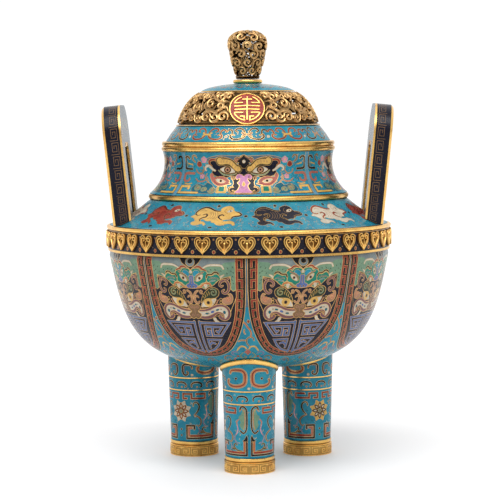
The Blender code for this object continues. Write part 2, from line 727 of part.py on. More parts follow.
def add_knob(pieces, cutters, gilt):
    collar_top = COLLAR_Z + COLLAR_HEIGHT
    collar = [
        (0.0, collar_top),
        (COLLAR_RADIUS - COLLAR_ROUNDING, collar_top),
        (COLLAR_RADIUS, collar_top - COLLAR_ROUNDING),
        (COLLAR_RADIUS, COLLAR_Z + COLLAR_ROUNDING),
        (COLLAR_RADIUS - COLLAR_ROUNDING, COLLAR_Z),
        (0.0, COLLAR_Z),
    ]
    turned("knob_collar", collar, LEG_FACETS, pieces, gilt)
    side = knob_side()
    inside = offset_profile(side, KNOB_WALL)
    inside[-1] = (KNOB_FOOT_RADIUS - KNOB_WALL, KNOB_Z)
    knob = turned("lid_knob", [*side, *reversed(inside)], KNOB_FACETS, pieces, gilt)
    holes = []
    for share, count, first, width, height in KNOB_HOLES:
        hole_z = KNOB_Z + KNOB_HEIGHT * share
        radius, tilt = surface_at(side, hole_z)
        for step in range(count):
            turn = math.radians(first) + 2 * math.pi * step / count
            place = facing(turn, radius, hole_z, tilt)
            holes.append((hole_shape(width, height, first, 2 * KNOB_WALL), place))
    boolean(knob, merged_cutter("knob_holes", holes, cutters))


def main():
    clear_scene()
    pieces = new_collection("incense_burner")
    cutters = new_collection("cutters")
    enamel = new_material("turquoise_enamel", (0.05, 0.33, 0.45), 0.3, 0.0)
    dark_enamel = new_material("dark_blue_enamel", (0.012, 0.014, 0.045), 0.3, 0.0)
    red_enamel = new_material("red_enamel", (0.42, 0.05, 0.03), 0.3, 0.0)
    gilt = new_material("gilt_bronze", (0.78, 0.46, 0.14), 0.3, 1.0)
    add_vessel(pieces, enamel, gilt)
    add_belt(pieces, cutters, dark_enamel)
    add_handles(pieces, cutters, enamel)
    add_legs(pieces, cutters, enamel, gilt)
    add_lid(pieces, cutters, enamel, gilt)
    add_dome(pieces, cutters, gilt)
    add_roundels(pieces, red_enamel)
    add_knob(pieces, cutters, gilt)
    bpy.context.view_layer.update()
    for piece in list(pieces.objects):
        settle(piece)


main()
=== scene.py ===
import math

import bmesh
import bpy
import numpy as np
from mathutils import Matrix, Vector
from mathutils.geometry import delaunay_2d_cdt, interpolate_bezier


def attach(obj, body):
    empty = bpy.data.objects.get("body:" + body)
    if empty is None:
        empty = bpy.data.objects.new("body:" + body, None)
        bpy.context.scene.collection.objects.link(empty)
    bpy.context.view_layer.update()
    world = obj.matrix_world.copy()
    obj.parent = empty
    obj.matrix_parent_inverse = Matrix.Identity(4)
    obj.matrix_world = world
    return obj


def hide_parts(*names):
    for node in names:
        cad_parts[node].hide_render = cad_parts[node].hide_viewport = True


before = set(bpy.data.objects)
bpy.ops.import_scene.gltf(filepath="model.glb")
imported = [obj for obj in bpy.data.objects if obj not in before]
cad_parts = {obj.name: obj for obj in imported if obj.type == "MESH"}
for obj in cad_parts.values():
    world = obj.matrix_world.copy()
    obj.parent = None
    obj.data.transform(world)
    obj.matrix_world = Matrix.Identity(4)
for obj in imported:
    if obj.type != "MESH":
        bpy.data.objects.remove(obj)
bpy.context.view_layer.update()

MM = 0.001
TURN = 2 * math.pi
FRONT = -math.pi / 2
# In millimetres: the width of a gilt wire, and how far a soft line may be from its curve
WIRE = 0.42
TOLERANCE = 0.07
# In metres: points that are one, open edges that are one when a piece is finished or where a handle's
# strips meet, and points drawn together on the axis
WELD = 0.000004
LAST_WELD = 0.00002
HANDLE_WELD = 0.00003
AXIS_WELD = 0.0002
SHARP = math.radians(38)

# Heights where the pieces begin and end, and the thickness of a wall, in millimetres
LEG_FOOT, LEG_TOP = 15.3, 112.8
BOWL_FOOT = 94.0
BELT_FOOT, BELT_TOP = 212.4, 233.7
SHOULDER_FOOT, SHOULDER_TOP = 238.3, 262.5
NECK_FOOT, NECK_TOP = 268.7, 310.2
SKIRT_FOOT, SKIRT_TOP = 320.2, 334.7
CAP_EDGE, CAP_TOP = 369.6, 376.6
WALL = 3.0

# Enamel and metal colours, as they look in plain daylight
COLOURS = {
    "turquoise": (22, 116, 140),
    "deep_teal": (14, 84, 100),
    "sky_blue": (80, 128, 148),
    "pale_blue": (80, 98, 112),
    "lavender": (68, 94, 146),
    "dark_blue": (15, 14, 27),
    "black": (14, 12, 13),
    "red": (124, 39, 33),
    "coral": (148, 60, 52),
    "dark_red": (88, 26, 22),
    "mauve": (106, 70, 74),
    "pink": (180, 120, 156),
    "rose": (156, 88, 78),
    "orange": (158, 86, 52),
    "tan": (150, 108, 82),
    "brown": (112, 84, 56),
    "yellow": (190, 150, 78),
    "cream": (178, 168, 150),
    "light_green": (94, 124, 102),
    "green": (22, 112, 88),
    "olive": (32, 44, 28),
    "grey": (102, 112, 114),
}


def linear(value):
    share = value / 255
    return share / 12.92 if share < 0.04045 else ((share + 0.055) / 1.055) ** 2.4


def rgba(colour, gain=1.0):
    return (*[linear(part) * gain for part in colour], 1.0)


# Materials


def new_group(name, inputs):
    """A node group with the given inputs, and a colour, a roughness and a height to give out."""
    group = bpy.data.node_groups.new(name, "ShaderNodeTree")
    for label, kind, value in inputs:
        socket = group.interface.new_socket(label, in_out="INPUT", socket_type=kind)
        socket.default_value = value
    for label, kind in (("Colour", "Color"), ("Roughness", "Float"), ("Height", "Float")):
        group.interface.new_socket(label, in_out="OUTPUT", socket_type=f"NodeSocket{kind}")
    return group, group.nodes.new("NodeGroupInput"), group.nodes.new("NodeGroupOutput")


def noise(tree, place, scale, detail=3.0, rough=0.55):
    made = tree.nodes.new("ShaderNodeTexNoise")
    made.inputs["Scale"].default_value = scale
    made.inputs["Detail"].default_value = detail
    made.inputs["Roughness"].default_value = rough
    tree.links.new(place, made.inputs["Vector"])
    return made.outputs["Fac"]


def spread(tree, value, low, high, to_low, to_high):
    made = tree.nodes.new("ShaderNodeMapRange")
    made.inputs["From Min"].default_value = low
    made.inputs["From Max"].default_value = high
    made.inputs["To Min"].default_value = to_low
    made.inputs["To Max"].default_value = to_high
    tree.links.new(value, made.inputs["Value"])
    return made.outputs["Result"]


def feed(tree, socket, source):
    """Joins a node's output to a socket, or sets the socket to a value."""
    if isinstance(source, bpy.types.NodeSocket):
        tree.links.new(source, socket)
    else:
        socket.default_value = source


def blended(tree, share, first, second, way="MIX"):
    made = tree.nodes.new("ShaderNodeMix")
    made.data_type = "RGBA"
    made.blend_type = way
    for number, source in ((0, share), (6, first), (7, second)):
        feed(tree, made.inputs[number], source)
    return made.outputs[2]


def math_node(tree, way, first, second):
    made = tree.nodes.new("ShaderNodeMath")
    made.operation = way
    for number, source in enumerate((first, second)):
        feed(tree, made.inputs[number], source)
    return made.outputs[0]


def enamel_group():
    """Fired enamel: cloudy in its colour, with fine pits and a slightly wavy polish."""
    group, source, out = new_group(
        "fired_enamel",
        [
            ("Colour", "NodeSocketColor", (0.5, 0.5, 0.5, 1.0)),
            ("Cloud", "NodeSocketColor", (0.5, 0.5, 0.5, 1.0)),
            ("Clouding", "NodeSocketFloat", 0.5),
            ("Pits", "NodeSocketFloat", 0.5),
        ],
    )
    place = group.nodes.new("ShaderNodeTexCoord").outputs["Object"]
    broad = spread(group, noise(group, place, 95.0), 0.36, 0.66, 0.0, 1.0)
    fine = spread(group, noise(group, place, 620.0, 4.0), 0.34, 0.70, 0.0, 1.0)
    share = math_node(group, "MULTIPLY", broad, source.outputs["Clouding"])
    tone = blended(group, share, source.outputs["Colour"], source.outputs["Cloud"])
    speck = math_node(group, "MULTIPLY", fine, 0.34)
    dark = blended(group, 1.0, tone, (0.46, 0.50, 0.52, 1.0), "MULTIPLY")
    tone = blended(group, speck, tone, dark)
    pits = group.nodes.new("ShaderNodeTexVoronoi")
    pits.inputs["Scale"].default_value = 520.0
    group.links.new(place, pits.inputs["Vector"])
    hole = spread(group, pits.outputs["Distance"], 0.13, 0.21, 1.0, 0.0)
    hole = math_node(group, "MULTIPLY", hole, source.outputs["Pits"])
    tone = blended(group, hole, tone, (0.03, 0.028, 0.022, 1.0))
    group.links.new(tone, out.inputs["Colour"])
    rough = math_node(group, "ADD", math_node(group, "MULTIPLY", fine, 0.14), 0.20)
    group.links.new(
        math_node(group, "ADD", rough, math_node(group, "MULTIPLY", hole, 0.35)), out.inputs["Roughness"],
    )
    wave = math_node(group, "MULTIPLY", noise(group, place, 210.0, 2.0), 0.6)
    group.links.new(math_node(group, "SUBTRACT", wave, hole), out.inputs["Height"])
    return group


def gilt_group():
    """Fire-gilt bronze: warm and bright on top of the relief, brown in the hollows as patina and as painted
    shade, rubbed and spotted.
    """
    group, source, out = new_group(
        "fire_gilding",
        [
            ("Gold", "NodeSocketColor", rgba((248, 202, 116))),
            ("Rubbed", "NodeSocketColor", rgba((214, 154, 82))),
            ("Hollow", "NodeSocketColor", rgba((92, 56, 24))),
            ("Wear", "NodeSocketFloat", 0.5),
        ],
    )
    place = group.nodes.new("ShaderNodeTexCoord").outputs["Object"]
    broad = spread(group, noise(group, place, 70.0, 5.0, 0.62), 0.40, 0.66, 0.0, 1.0)
    fine = noise(group, place, 900.0, 4.0, 0.6)
    share = math_node(group, "MULTIPLY", broad, source.outputs["Wear"])
    tone = blended(group, share, source.outputs["Gold"], source.outputs["Rubbed"])
    # A per-point value darkens the gilt towards the hollow colour: patina in the hollows, and painted shade
    # there too.
    hollow_patina_and_shade = group.nodes.new("ShaderNodeAttribute")
    hollow_patina_and_shade.attribute_name = "hollow_patina_and_shade"
    patina_shade_share = spread(group, hollow_patina_and_shade.outputs["Fac"], 0.15, 0.95, 0.0, 0.9)
    tone = blended(group, patina_shade_share, tone, source.outputs["Hollow"])
    spots = spread(group, noise(group, place, 330.0, 3.0), 0.62, 0.72, 0.0, 0.55)
    tone = blended(
        group, math_node(group, "MULTIPLY", spots, source.outputs["Wear"]), tone, source.outputs["Hollow"],
    )
    group.links.new(tone, out.inputs["Colour"])
    rough = math_node(group, "ADD", math_node(group, "MULTIPLY", fine, 0.22), 0.18)
    group.links.new(
        math_node(group, "ADD", rough, math_node(group, "MULTIPLY", patina_shade_share, 0.25)), out.inputs["Roughness"],
    )
    bump = math_node(
        group, "ADD", math_node(group, "MULTIPLY", fine, 0.5), math_node(group, "MULTIPLY", broad, 0.5),
    )
    group.links.new(bump, out.inputs["Height"])
    return group


ENAMEL = enamel_group()
GILDING = gilt_group()


def finish_material(name, group, values, metallic, bump, settings):
    made = bpy.data.materials.new(name)
    made.use_nodes = True
    tree = made.node_tree
    shader = tree.nodes["Principled BSDF"]
    shader.inputs["Metallic"].default_value = metallic
    for label, value in settings.items():
        shader.inputs[label].default_value = value
    placed = tree.nodes.new("ShaderNodeGroup")
    placed.node_tree = group
    for label, value in values.items():
        placed.inputs[label].default_value = value
    tree.links.new(placed.outputs["Colour"], shader.inputs["Base Color"])
    tree.links.new(placed.outputs["Roughness"], shader.inputs["Roughness"])
    relief = tree.nodes.new("ShaderNodeBump")
    relief.inputs["Strength"].default_value = bump
    relief.inputs["Distance"].default_value = 0.00012
    tree.links.new(placed.outputs["Height"], relief.inputs["Height"])
    tree.links.new(relief.outputs["Normal"], shader.inputs["Normal"])
    made.diffuse_color = values.get("Colour", values.get("Gold", (0.8, 0.5, 0.2, 1.0)))
    return made


CLOUDS = {
    "turquoise": ((50, 146, 164), 0.7),
    "light_green": ((116, 146, 116), 0.9),
    "dark_blue": ((20, 22, 40), 0.7),
    "lavender": ((92, 110, 152), 0.8),
    "green": ((28, 128, 116), 0.8),
    "grey": ((124, 134, 130), 0.8),
    "pale_blue": ((78, 106, 122), 0.8),
    "red": ((150, 66, 48), 0.8),
}


def enamel(name):
    colour = COLOURS[name]
    cloud, clouding = CLOUDS.get(name, ([min(255, part * 1.16 + 6) for part in colour], 0.6))
    values = {"Colour": rgba(colour), "Cloud": rgba(cloud), "Clouding": clouding, "Pits": 0.6}
    return finish_material(
        f"enamel_{name}", ENAMEL, values, 0.0, 0.35, {"IOR": 1.5, "Specular IOR Level": 0.2},
    )


def gilt(name, wear, **colours):
    values = {label.capitalize(): rgba(colour) for label, colour in colours.items()}
    return finish_material(name, GILDING, {**values, "Wear": wear}, 1.0, 0.4, {})


MATERIALS = {name: enamel(name) for name in COLOURS}
MATERIALS["wire"] = gilt("gilt_wire", 0.6, gold=(212, 168, 102), rubbed=(138, 98, 60))
MATERIALS["gilt"] = gilt("gilt_bronze", 0.6)
# Near-black gilt for inner faces and the backs of the openwork: dark metal inside, and painted shade where
# the holes of the dome and knob look into the lid.
MATERIALS["inside"] = gilt("gilt_inside_and_painted_shade", 0.9, gold=(44, 31, 19), rubbed=(24, 18, 12))
# The carving's near-black hollow colour is patina and painted shade in the hollows of the relief.
MATERIALS["carving"] = gilt(
    "gilt_carving", 0.7, gold=(226, 184, 124), rubbed=(150, 108, 68), hollow=(26, 17, 10),
)


# Flat pattern drawing, in millimetres: x around the piece, y down its side


def thinned(points, tolerance=TOLERANCE):
    """Leaves out the points that lie within a tolerance of a straight run."""
    points = np.asarray(points, float)
    keep = np.zeros(len(points), bool)
    keep[0] = keep[-1] = True
    spans = [(0, len(points) - 1)]
    while spans:
        start, end = spans.pop()
        if end - start < 2:
            continue
        run = points[end] - points[start]
        away = points[start + 1 : end] - points[start]
        length = np.hypot(*run)
        if length < 1e-9:
            off = np.hypot(away[:, 0], away[:, 1])
        else:
            off = np.abs(run[0] * away[:, 1] - run[1] * away[:, 0]) / length
        worst = int(off.argmax())
        if off[worst] > tolerance:
            middle = start + 1 + worst
            keep[middle] = True
            spans += [(start, middle), (middle, end)]
    return points[keep]


def smoothed(points, closed=False, steps=7):
    """A soft line through the points."""
    points = np.asarray(points, float)
    count = len(points)
    if closed:
        index = np.arange(count)
        before, here, after, beyond = (points[(index + shift) % count] for shift in (-1, 0, 1, 2))
    else:
        padded = np.vstack([2 * points[0] - points[1], points, 2 * points[-1] - points[-2]])
        before, here, after, beyond = padded[:-3], padded[1:-2], padded[2:-1], padded[3:]
    share = np.linspace(0, 1, steps, endpoint=False)[None, :, None]
    before, here, after, beyond = (part[:, None, :] for part in (before, here, after, beyond))
    line = 0.5 * (
        2 * here
        + (after - before) * share
        + (2 * before - 5 * here + 4 * after - beyond) * share**2
        + (3 * here - before - 3 * after + beyond) * share**3
    )
    line = line.reshape(-1, 2)
    if closed:
        return thinned(np.vstack([line, line[:1]]))[:-1]
    return thinned(np.vstack([line, points[-1:]]))


def both_sides(half):
    """A whole outline, from the half of it that starts and ends on the middle line."""
    return [*half, *[(-x, y) for x, y in half[-2:0:-1]]]


def frame_points(across, down):
    """The points round a rectangle, from the places across it and down it."""
    return [
        *[(x, down[0]) for x in across],
        *[(across[-1], y) for y in down[1:]],
        *[(x, down[-1]) for x in across[-2::-1]],
        *[(across[0], y) for y in down[-2:0:-1]],
    ]


def runs(line):
    """How far along a line each of its points is."""
    return np.concatenate([[0], np.cumsum(np.hypot(*np.diff(line, axis=0).T))])


def sides(points, closed):
    """The way out to the left of each point of a line, long enough to keep a mitred width."""
    points = np.asarray(points, float)
    if closed:
        first = points - np.roll(points, 1, axis=0)
        second = np.roll(points, -1, axis=0) - points
    else:
        steps = np.diff(points, axis=0)
        first = np.vstack([steps[:1], steps])
        second = np.vstack([steps, steps[-1:]])
    first = first / np.maximum(np.hypot(first[:, 0], first[:, 1]), 1e-9)[:, None]
    second = second / np.maximum(np.hypot(second[:, 0], second[:, 1]), 1e-9)[:, None]
    along = first + second
    along = along / np.maximum(np.hypot(along[:, 0], along[:, 1]), 1e-9)[:, None]
    out = np.stack([along[:, 1], -along[:, 0]], 1)
    mitre = np.maximum((along * first).sum(1), 0.55)
    return out / mitre[:, None]


def outset(outline, distance):
    """A closed outline grown by a distance."""
    outline = np.asarray(outline, float)
    after = np.roll(outline, -1, axis=0)
    way = 1 if (outline[:, 0] * after[:, 1] - after[:, 0] * outline[:, 1]).sum() > 0 else -1
    return outline + sides(outline, True) * distance * way


def ribbon(points, width, grow=0.0):
    """The outline of a stroke. Its width may change from point to point, and its ends are blunt."""
    points = np.asarray(points, float)
    run = np.hypot(*np.diff(points, axis=0).T)
    share = np.concatenate([[0], np.cumsum(run)]) / run.sum()
    widths = np.atleast_1d(np.asarray(width, float))
    half = np.interp(share, np.linspace(0, 1, len(widths)), widths) / 2 + grow
    out = sides(points, False) * half[:, None]
    start = (points[0] - points[1]) / max(run[0], 1e-9) * (grow + half[0] * 0.45)
    end = (points[-1] - points[-2]) / max(run[-1], 1e-9) * (grow + half[-1] * 0.45)
    left, right = points + out, points - out
    caps = [points[0] + out[0] * 0.55 + start, points[0] - out[0] * 0.55 + start]
    tips = [points[-1] + out[-1] * 0.55 + end, points[-1] - out[-1] * 0.55 + end]
    return np.vstack([left, tips, right[::-1], caps[::-1]])


def ring_points(x, y, wide, high, count, turned_by):
    turns = np.linspace(0, TURN, count, endpoint=False)
    across, up = wide * np.cos(turns), high * np.sin(turns)
    lean = math.radians(turned_by)
    turned_x = x + across * math.cos(lean) - up * math.sin(lean)
    turned_y = y + across * math.sin(lean) + up * math.cos(lean)
    return np.stack([turned_x, turned_y], 1)


def arc(radius, first, last, count, middle=(0.0, 0.0)):
    """Points of a part of a circle, between two turns in degrees."""
    turns = np.radians(np.linspace(first, last, count))
    return np.stack([np.cos(turns), np.sin(turns)], 1) * radius + middle


def curl(x, y, start, end, first, turns, count=14):
    """Points of a scroll around (x, y), from one radius to another."""
    share = np.linspace(0, 1, count)
    radius = start + (end - start) * share
    turn = math.radians(first) + TURN * turns * share
    return np.stack([x + radius * np.cos(turn), y + radius * np.sin(turn)], 1)


def divided(outline, longest):
    """A closed outline with points along its long sides, so that it bends with the piece."""
    result = []
    for start, end in zip(outline, np.roll(outline, -1, axis=0)):
        parts = max(1, math.ceil(np.hypot(*(end - start)) / longest))
        result += [start + (end - start) * step / parts for step in range(parts)]
    return np.array(result)


class Pattern:
    """Shapes that are laid over each other, each in its own colour and most in a gilt wire.

    The columns and the cell size say how finely the ground between them is divided.
    """

    def __init__(self, width, top, bottom, ground, cell, columns=1):
        self.width, self.top, self.bottom = width, top, bottom
        self.ground, self.cell, self.columns = ground, cell, columns
        self.shapes = []

    def put(self, colour, outline, pair=False, wrap=False):
        outline = divided(np.asarray(outline, float), self.cell * 1.6)
        self.shapes.append((colour, outline))
        if pair:
            self.shapes.append((colour, outline * (-1, 1)))
        if wrap:
            for way in (-1, 1):
                self.put(colour, outline + (way * self.width, 0), pair)

    def area(self, colour, points, wire=WIRE, soft=True, pair=False, wrap=False):
        outline = smoothed(points, True) if soft else np.asarray(points, float)
        if wire:
            self.put("wire", outset(outline, wire), pair, wrap)
        self.put(colour, outline, pair, wrap)

    def line(self, colour, points, width, wire=WIRE, soft=True, pair=False, wrap=False):
        points = smoothed(points) if soft else np.asarray(points, float)
        if wire:
            self.put("wire", ribbon(points, width, wire), pair, wrap)
        self.put(colour, ribbon(points, width), pair, wrap)

    def dot(self, colour, x, y, radius, high=None, wire=WIRE, pair=False, wrap=False, lean=0.0, count=9):
        self.area(colour, ring_points(x, y, radius, high or radius, count, lean), wire, False, pair, wrap)

    def seam(self, points):
        """Points given from the line where two repeats meet."""
        return np.asarray(points, float) + (self.width / 2, 0)

    def within(self, border, loose):
        """Points, triangles and the colour of each triangle inside a border."""
        outlines = [("closed", outline) for _, outline in self.shapes]
        flat, faces, middle = triangulated(border, [("loose", loose), *outlines], 0.0005)
        colours = np.full(len(faces), self.ground, object)
        for colour, outline in self.shapes:
            low, high = outline.min(0), outline.max(0)
            near = np.flatnonzero(((middle > low) & (middle < high)).all(1))
            if len(near):
                colours[near[wound(middle[near], outline)]] = colour
        return flat, faces, colours

    def mosaic(self):
        """The pattern cut to its own rectangle, with loose points in rows, so that it bends evenly."""
        half = self.width / 2
        rows = max(2, round((self.bottom - self.top) / self.cell))
        down = np.linspace(self.top, self.bottom, rows + 1)
        step = self.width / self.columns
        loose = []
        for row, y in enumerate(down[1:-1]):
            shift, count = (0.5, self.columns) if row % 2 else (0.0, self.columns - 1)
            loose += [(-half + step * (column + 1 - shift), y) for column in range(count)]
        return self.within(frame_points(np.linspace(-half, half, self.columns + 1), down), loose)


def triangulated(border, parts, tolerance):
    """Points, triangles and their middles inside a border, with lines and loose points let in."""
    points, edges = [], []
    for kind, part in (("closed", border), *parts):
        start, count = len(points), len(part)
        points += [Vector(point) for point in part]
        if kind != "loose":
            edges += [(start + index, start + index + 1) for index in range(count - 1)]
        if kind == "closed":
            edges.append((start + count - 1, start))
    found = delaunay_2d_cdt(points, edges, [], 0, tolerance)
    flat = np.array([tuple(point) for point in found[0]])
    faces = np.array(found[2])
    middle = flat[faces].mean(axis=1)
    keep = wound(middle, np.asarray(border, float))
    return flat, faces[keep], middle[keep]


def wound(points, outline):
    """Which points an outline winds around."""
    start, end = outline, np.roll(outline, -1, axis=0)
    x, y = points[:, :1], points[:, 1:]
    side = (end[:, 0] - start[:, 0]) * (y - start[:, 1]) - (x - start[:, 0]) * (end[:, 1] - start[:, 1])
    up = (start[:, 1] <= y) & (end[:, 1] > y) & (side > 0)
    down = (start[:, 1] > y) & (end[:, 1] <= y) & (side < 0)
    return (up.sum(1) - down.sum(1)) != 0


# Wrapping a pattern round a turned piece


class Side:
    """The outer line of a turned piece, from its top down, in millimetres. Its top is counted as `start`."""

    def __init__(self, points, reference, start=0.0):
        self.points = np.asarray(points, float)
        self.run = start + runs(self.points)
        self.reference = reference

    def length(self):
        return self.run[-1]

    def radius(self, down):
        return np.interp(down, self.run, self.points[:, 0])

    def height(self, down):
        return np.interp(down, self.run, self.points[:, 1])

    def wrap(self, flat, lift=0.0, middle=0.0):
        """Flat points laid round the side, lifted from it and turned from the front."""
        turn = flat[:, 0] / self.reference + middle + FRONT
        out_r, out_z = self.out(flat[:, 1])
        radius = self.radius(flat[:, 1]) + lift * out_r
        height = self.height(flat[:, 1]) + lift * out_z
        return np.stack([radius * np.cos(turn), radius * np.sin(turn), height], 1) * MM

    def out(self, down):
        """The way out from the side, as (radius, height)."""
        step = 0.4
        run_r = self.radius(down + step) - self.radius(down - step)
        run_z = self.height(down + step) - self.height(down - step)
        length = np.maximum(np.hypot(run_r, run_z), 1e-9)
        return -run_z / length, run_r / length

    def inside(self, wall, places):
        """Points of (radius, height) on the inner face of a wall."""
        places = np.array(places)
        out_r, out_z = self.out(places)
        return list(zip(self.radius(places) - wall * out_r, self.height(places) - wall * out_z))


def bezier(start, start_pull, end_pull, end, count):
    """Points of a curve between two points, each with the way and the strength it is pulled."""
    first = (start[0] + start_pull[0], start[1] + start_pull[1])
    second = (end[0] + end_pull[0], end[1] + end_pull[1])
    line = interpolate_bezier(*[Vector((*point, 0)) for point in (start, first, second, end)], count)
    return [(point.x, point.y) for point in line]


def place_faces(drawn, palette, spots, faces, colours):
    """Adds coloured triangles to a bmesh, with their points in metres."""
    number = {colour: index for index, colour in enumerate(palette)}
    verts = {index: drawn.verts.new(spots[index]) for index in np.unique(faces)}
    for corners, colour in zip(faces, colours):
        face = drawn.faces.new([verts[index] for index in corners])
        face.material_index = number[colour]
        face.smooth = True


def repeated(drawn, copies):
    """Adds copies of what is drawn, evenly round the upright axis."""
    bmesh.ops.spin(
        drawn, geom=[*drawn.verts, *drawn.edges, *drawn.faces], cent=(0, 0, 0), axis=(0, 0, 1),
        angle=TURN * (copies - 1) / copies, steps=copies - 1, use_duplicate=True,
    )


def weld_open(drawn, dist=WELD):
    bmesh.ops.remove_doubles(drawn, verts=[vert for vert in drawn.verts if vert.is_boundary], dist=dist)


def patterned(pattern, side, copies, changes=(), middle=0.0):
    """The pattern wrapped round a side and repeated, as a bmesh, with the names of its colours."""
    flat, faces, colours = pattern.mosaic()
    palette = sorted(set(colours) | {new for change in changes for new in change.values()})
    drawn = bmesh.new()
    place_faces(drawn, palette, side.wrap(flat, middle=middle), faces, colours)
    repeated(drawn, copies)
    swaps = [
        {palette.index(old): palette.index(new) for old, new in change.items() if old in palette}
        for change in changes
    ]
    if swaps:
        for index, face in enumerate(drawn.faces):
            swap = swaps[index // len(faces) % len(swaps)]
            face.material_index = swap.get(face.material_index, face.material_index)
    weld_open(drawn)
    return drawn, [*palette, "inside"]


def carry(drawn, start, profile, palette, colour="inside"):
    """Goes on from the open edges at a height along a line of (radius, height), in millimetres."""
    ring = [
        edge
        for edge in drawn.edges
        if edge.is_boundary and all(abs(vert.co.z / MM - start) < 0.02 for vert in edge.verts)
    ]
    for radius, height in profile:
        made = bmesh.ops.extrude_edge_only(drawn, edges=ring)["geom"]
        ring = [item for item in made if isinstance(item, bmesh.types.BMEdge)]
        for face in {face for edge in ring for face in edge.link_faces}:
            face.smooth = True
            face.material_index = palette.index(colour)
        verts = {vert for edge in ring for vert in edge.verts}
        for vert in verts:
            out = Vector((vert.co.x, vert.co.y, 0)).normalized() * radius * MM
            vert.co = (out.x, out.y, height * MM)
        if radius == 0:
            bmesh.ops.remove_doubles(drawn, verts=list(verts), dist=AXIS_WELD)


def lathe(profile, steps=168):
    """A line of (radius, height) turned about the upright axis. It is closed if it starts off the axis."""
    drawn = bmesh.new()
    corners = [drawn.verts.new((radius * MM, 0, height * MM)) for radius, height in profile]
    edges = [drawn.edges.new(ends) for ends in zip(corners, corners[1:])]
    if profile[0][0] > 0:
        edges.append(drawn.edges.new((corners[-1], corners[0])))
    bmesh.ops.spin(
        drawn, geom=[*corners, *edges], cent=(0, 0, 0), axis=(0, 0, 1), angle=TURN, steps=steps,
        use_merge=True,
    )
    bmesh.ops.remove_doubles(drawn, verts=drawn.verts, dist=WELD)
    for face in drawn.faces:
        face.smooth = True
    return drawn


def link(name, drawn, palette, node, sharp=SHARP):
    """A finished piece that rides on the burner and stands for a node of the solids."""
    weld_open(drawn, LAST_WELD)
    bmesh.ops.recalc_face_normals(drawn, faces=drawn.faces)
    mesh = bpy.data.meshes.new(name)
    drawn.to_mesh(mesh)
    drawn.free()
    for colour in palette:
        mesh.materials.append(MATERIALS[colour])
    mesh.set_sharp_from_angle(angle=sharp)
    made = bpy.data.objects.new(name, mesh)
    bpy.context.scene.collection.objects.link(made)
    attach(made, "root")
    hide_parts(node)


# The bowl

BOWL_SECTOR = 139.5 * math.pi / 4
BOWL_COPIES = 8
BORDER_PATH = [
    (53.5, -7), (53.5, 6), (53.5, 18), (53.4, 28), (52.9, 40), (51.9, 50), (49.9, 60),
    (46.8, 70), (42.3, 80), (35.8, 90), (28.6, 96.3), (19, 101.2), (9, 103.8), (0, 104.5),
]


def along(path, run, distance):
    """The point at a run along a line, and a distance to its right as the line goes on."""
    steps = runs(path)

    def at(place):
        return np.array([np.interp(place, steps, path[:, axis]) for axis in (0, 1)])

    behind, point, ahead = at(run - 0.5), at(run), at(run + 0.5)
    way = (ahead - behind) / np.hypot(*(ahead - behind))
    return point + np.array([-way[1], way[0]]) * distance


def border_piece(path, start, end, near, far):
    places = np.linspace(start, end, max(2, int((end - start) / 3.0) + 1))
    return [*[along(path, run, near) for run in places], *[along(path, run, far) for run in places[::-1]]]


def panel_outline(path, distance):
    half = [along(path, run, distance) for run in np.linspace(0, runs(path)[-1], 46)]
    half[-1][0] = 0.0
    half = thinned(half, 0.05)
    return np.vstack([half, (half * (-1, 1))[-2::-1]])


def bowl_pattern():
    art = Pattern(BOWL_SECTOR, -4.5, 158.0, "turquoise", columns=21, cell=5.2)
    path = smoothed(BORDER_PATH, steps=10)
    total = runs(path)[-1]
    bowl_ground(art)
    art.area(
        "pale_blue", [(53.2, -6), (56.5, -6), (56.5, 30), (55.6, 44), (52.6, 42), (53.2, 30)], 0, False, True,
    )
    art.area("black", panel_outline(path, 0.0), 0.6, False)
    art.area("red", panel_outline(path, 7.1), 0.25, False)
    art.put("wire", panel_outline(path, 9.0))
    art.put("dark_blue", panel_outline(path, 9.5))
    count = round(total / 10.2)
    period = total / count
    for step in range(count):
        start = step * period + 2.6
        bar = border_piece(path, start, start + 1.9, 2.3, 7.4)
        hook = border_piece(path, start, min(start + 8.3, total - 0.6), 2.3, 4.2)
        for outline in (bar, hook):
            art.put("wire", outset(np.array(outline), 0.22), True)
        for outline in (bar, hook):
            art.put("red", outline, True)
    panel_sky(art, panel_outline(path, 9.5))
    small_mask(art)
    large_mask(art)
    meanders(art)
    return art


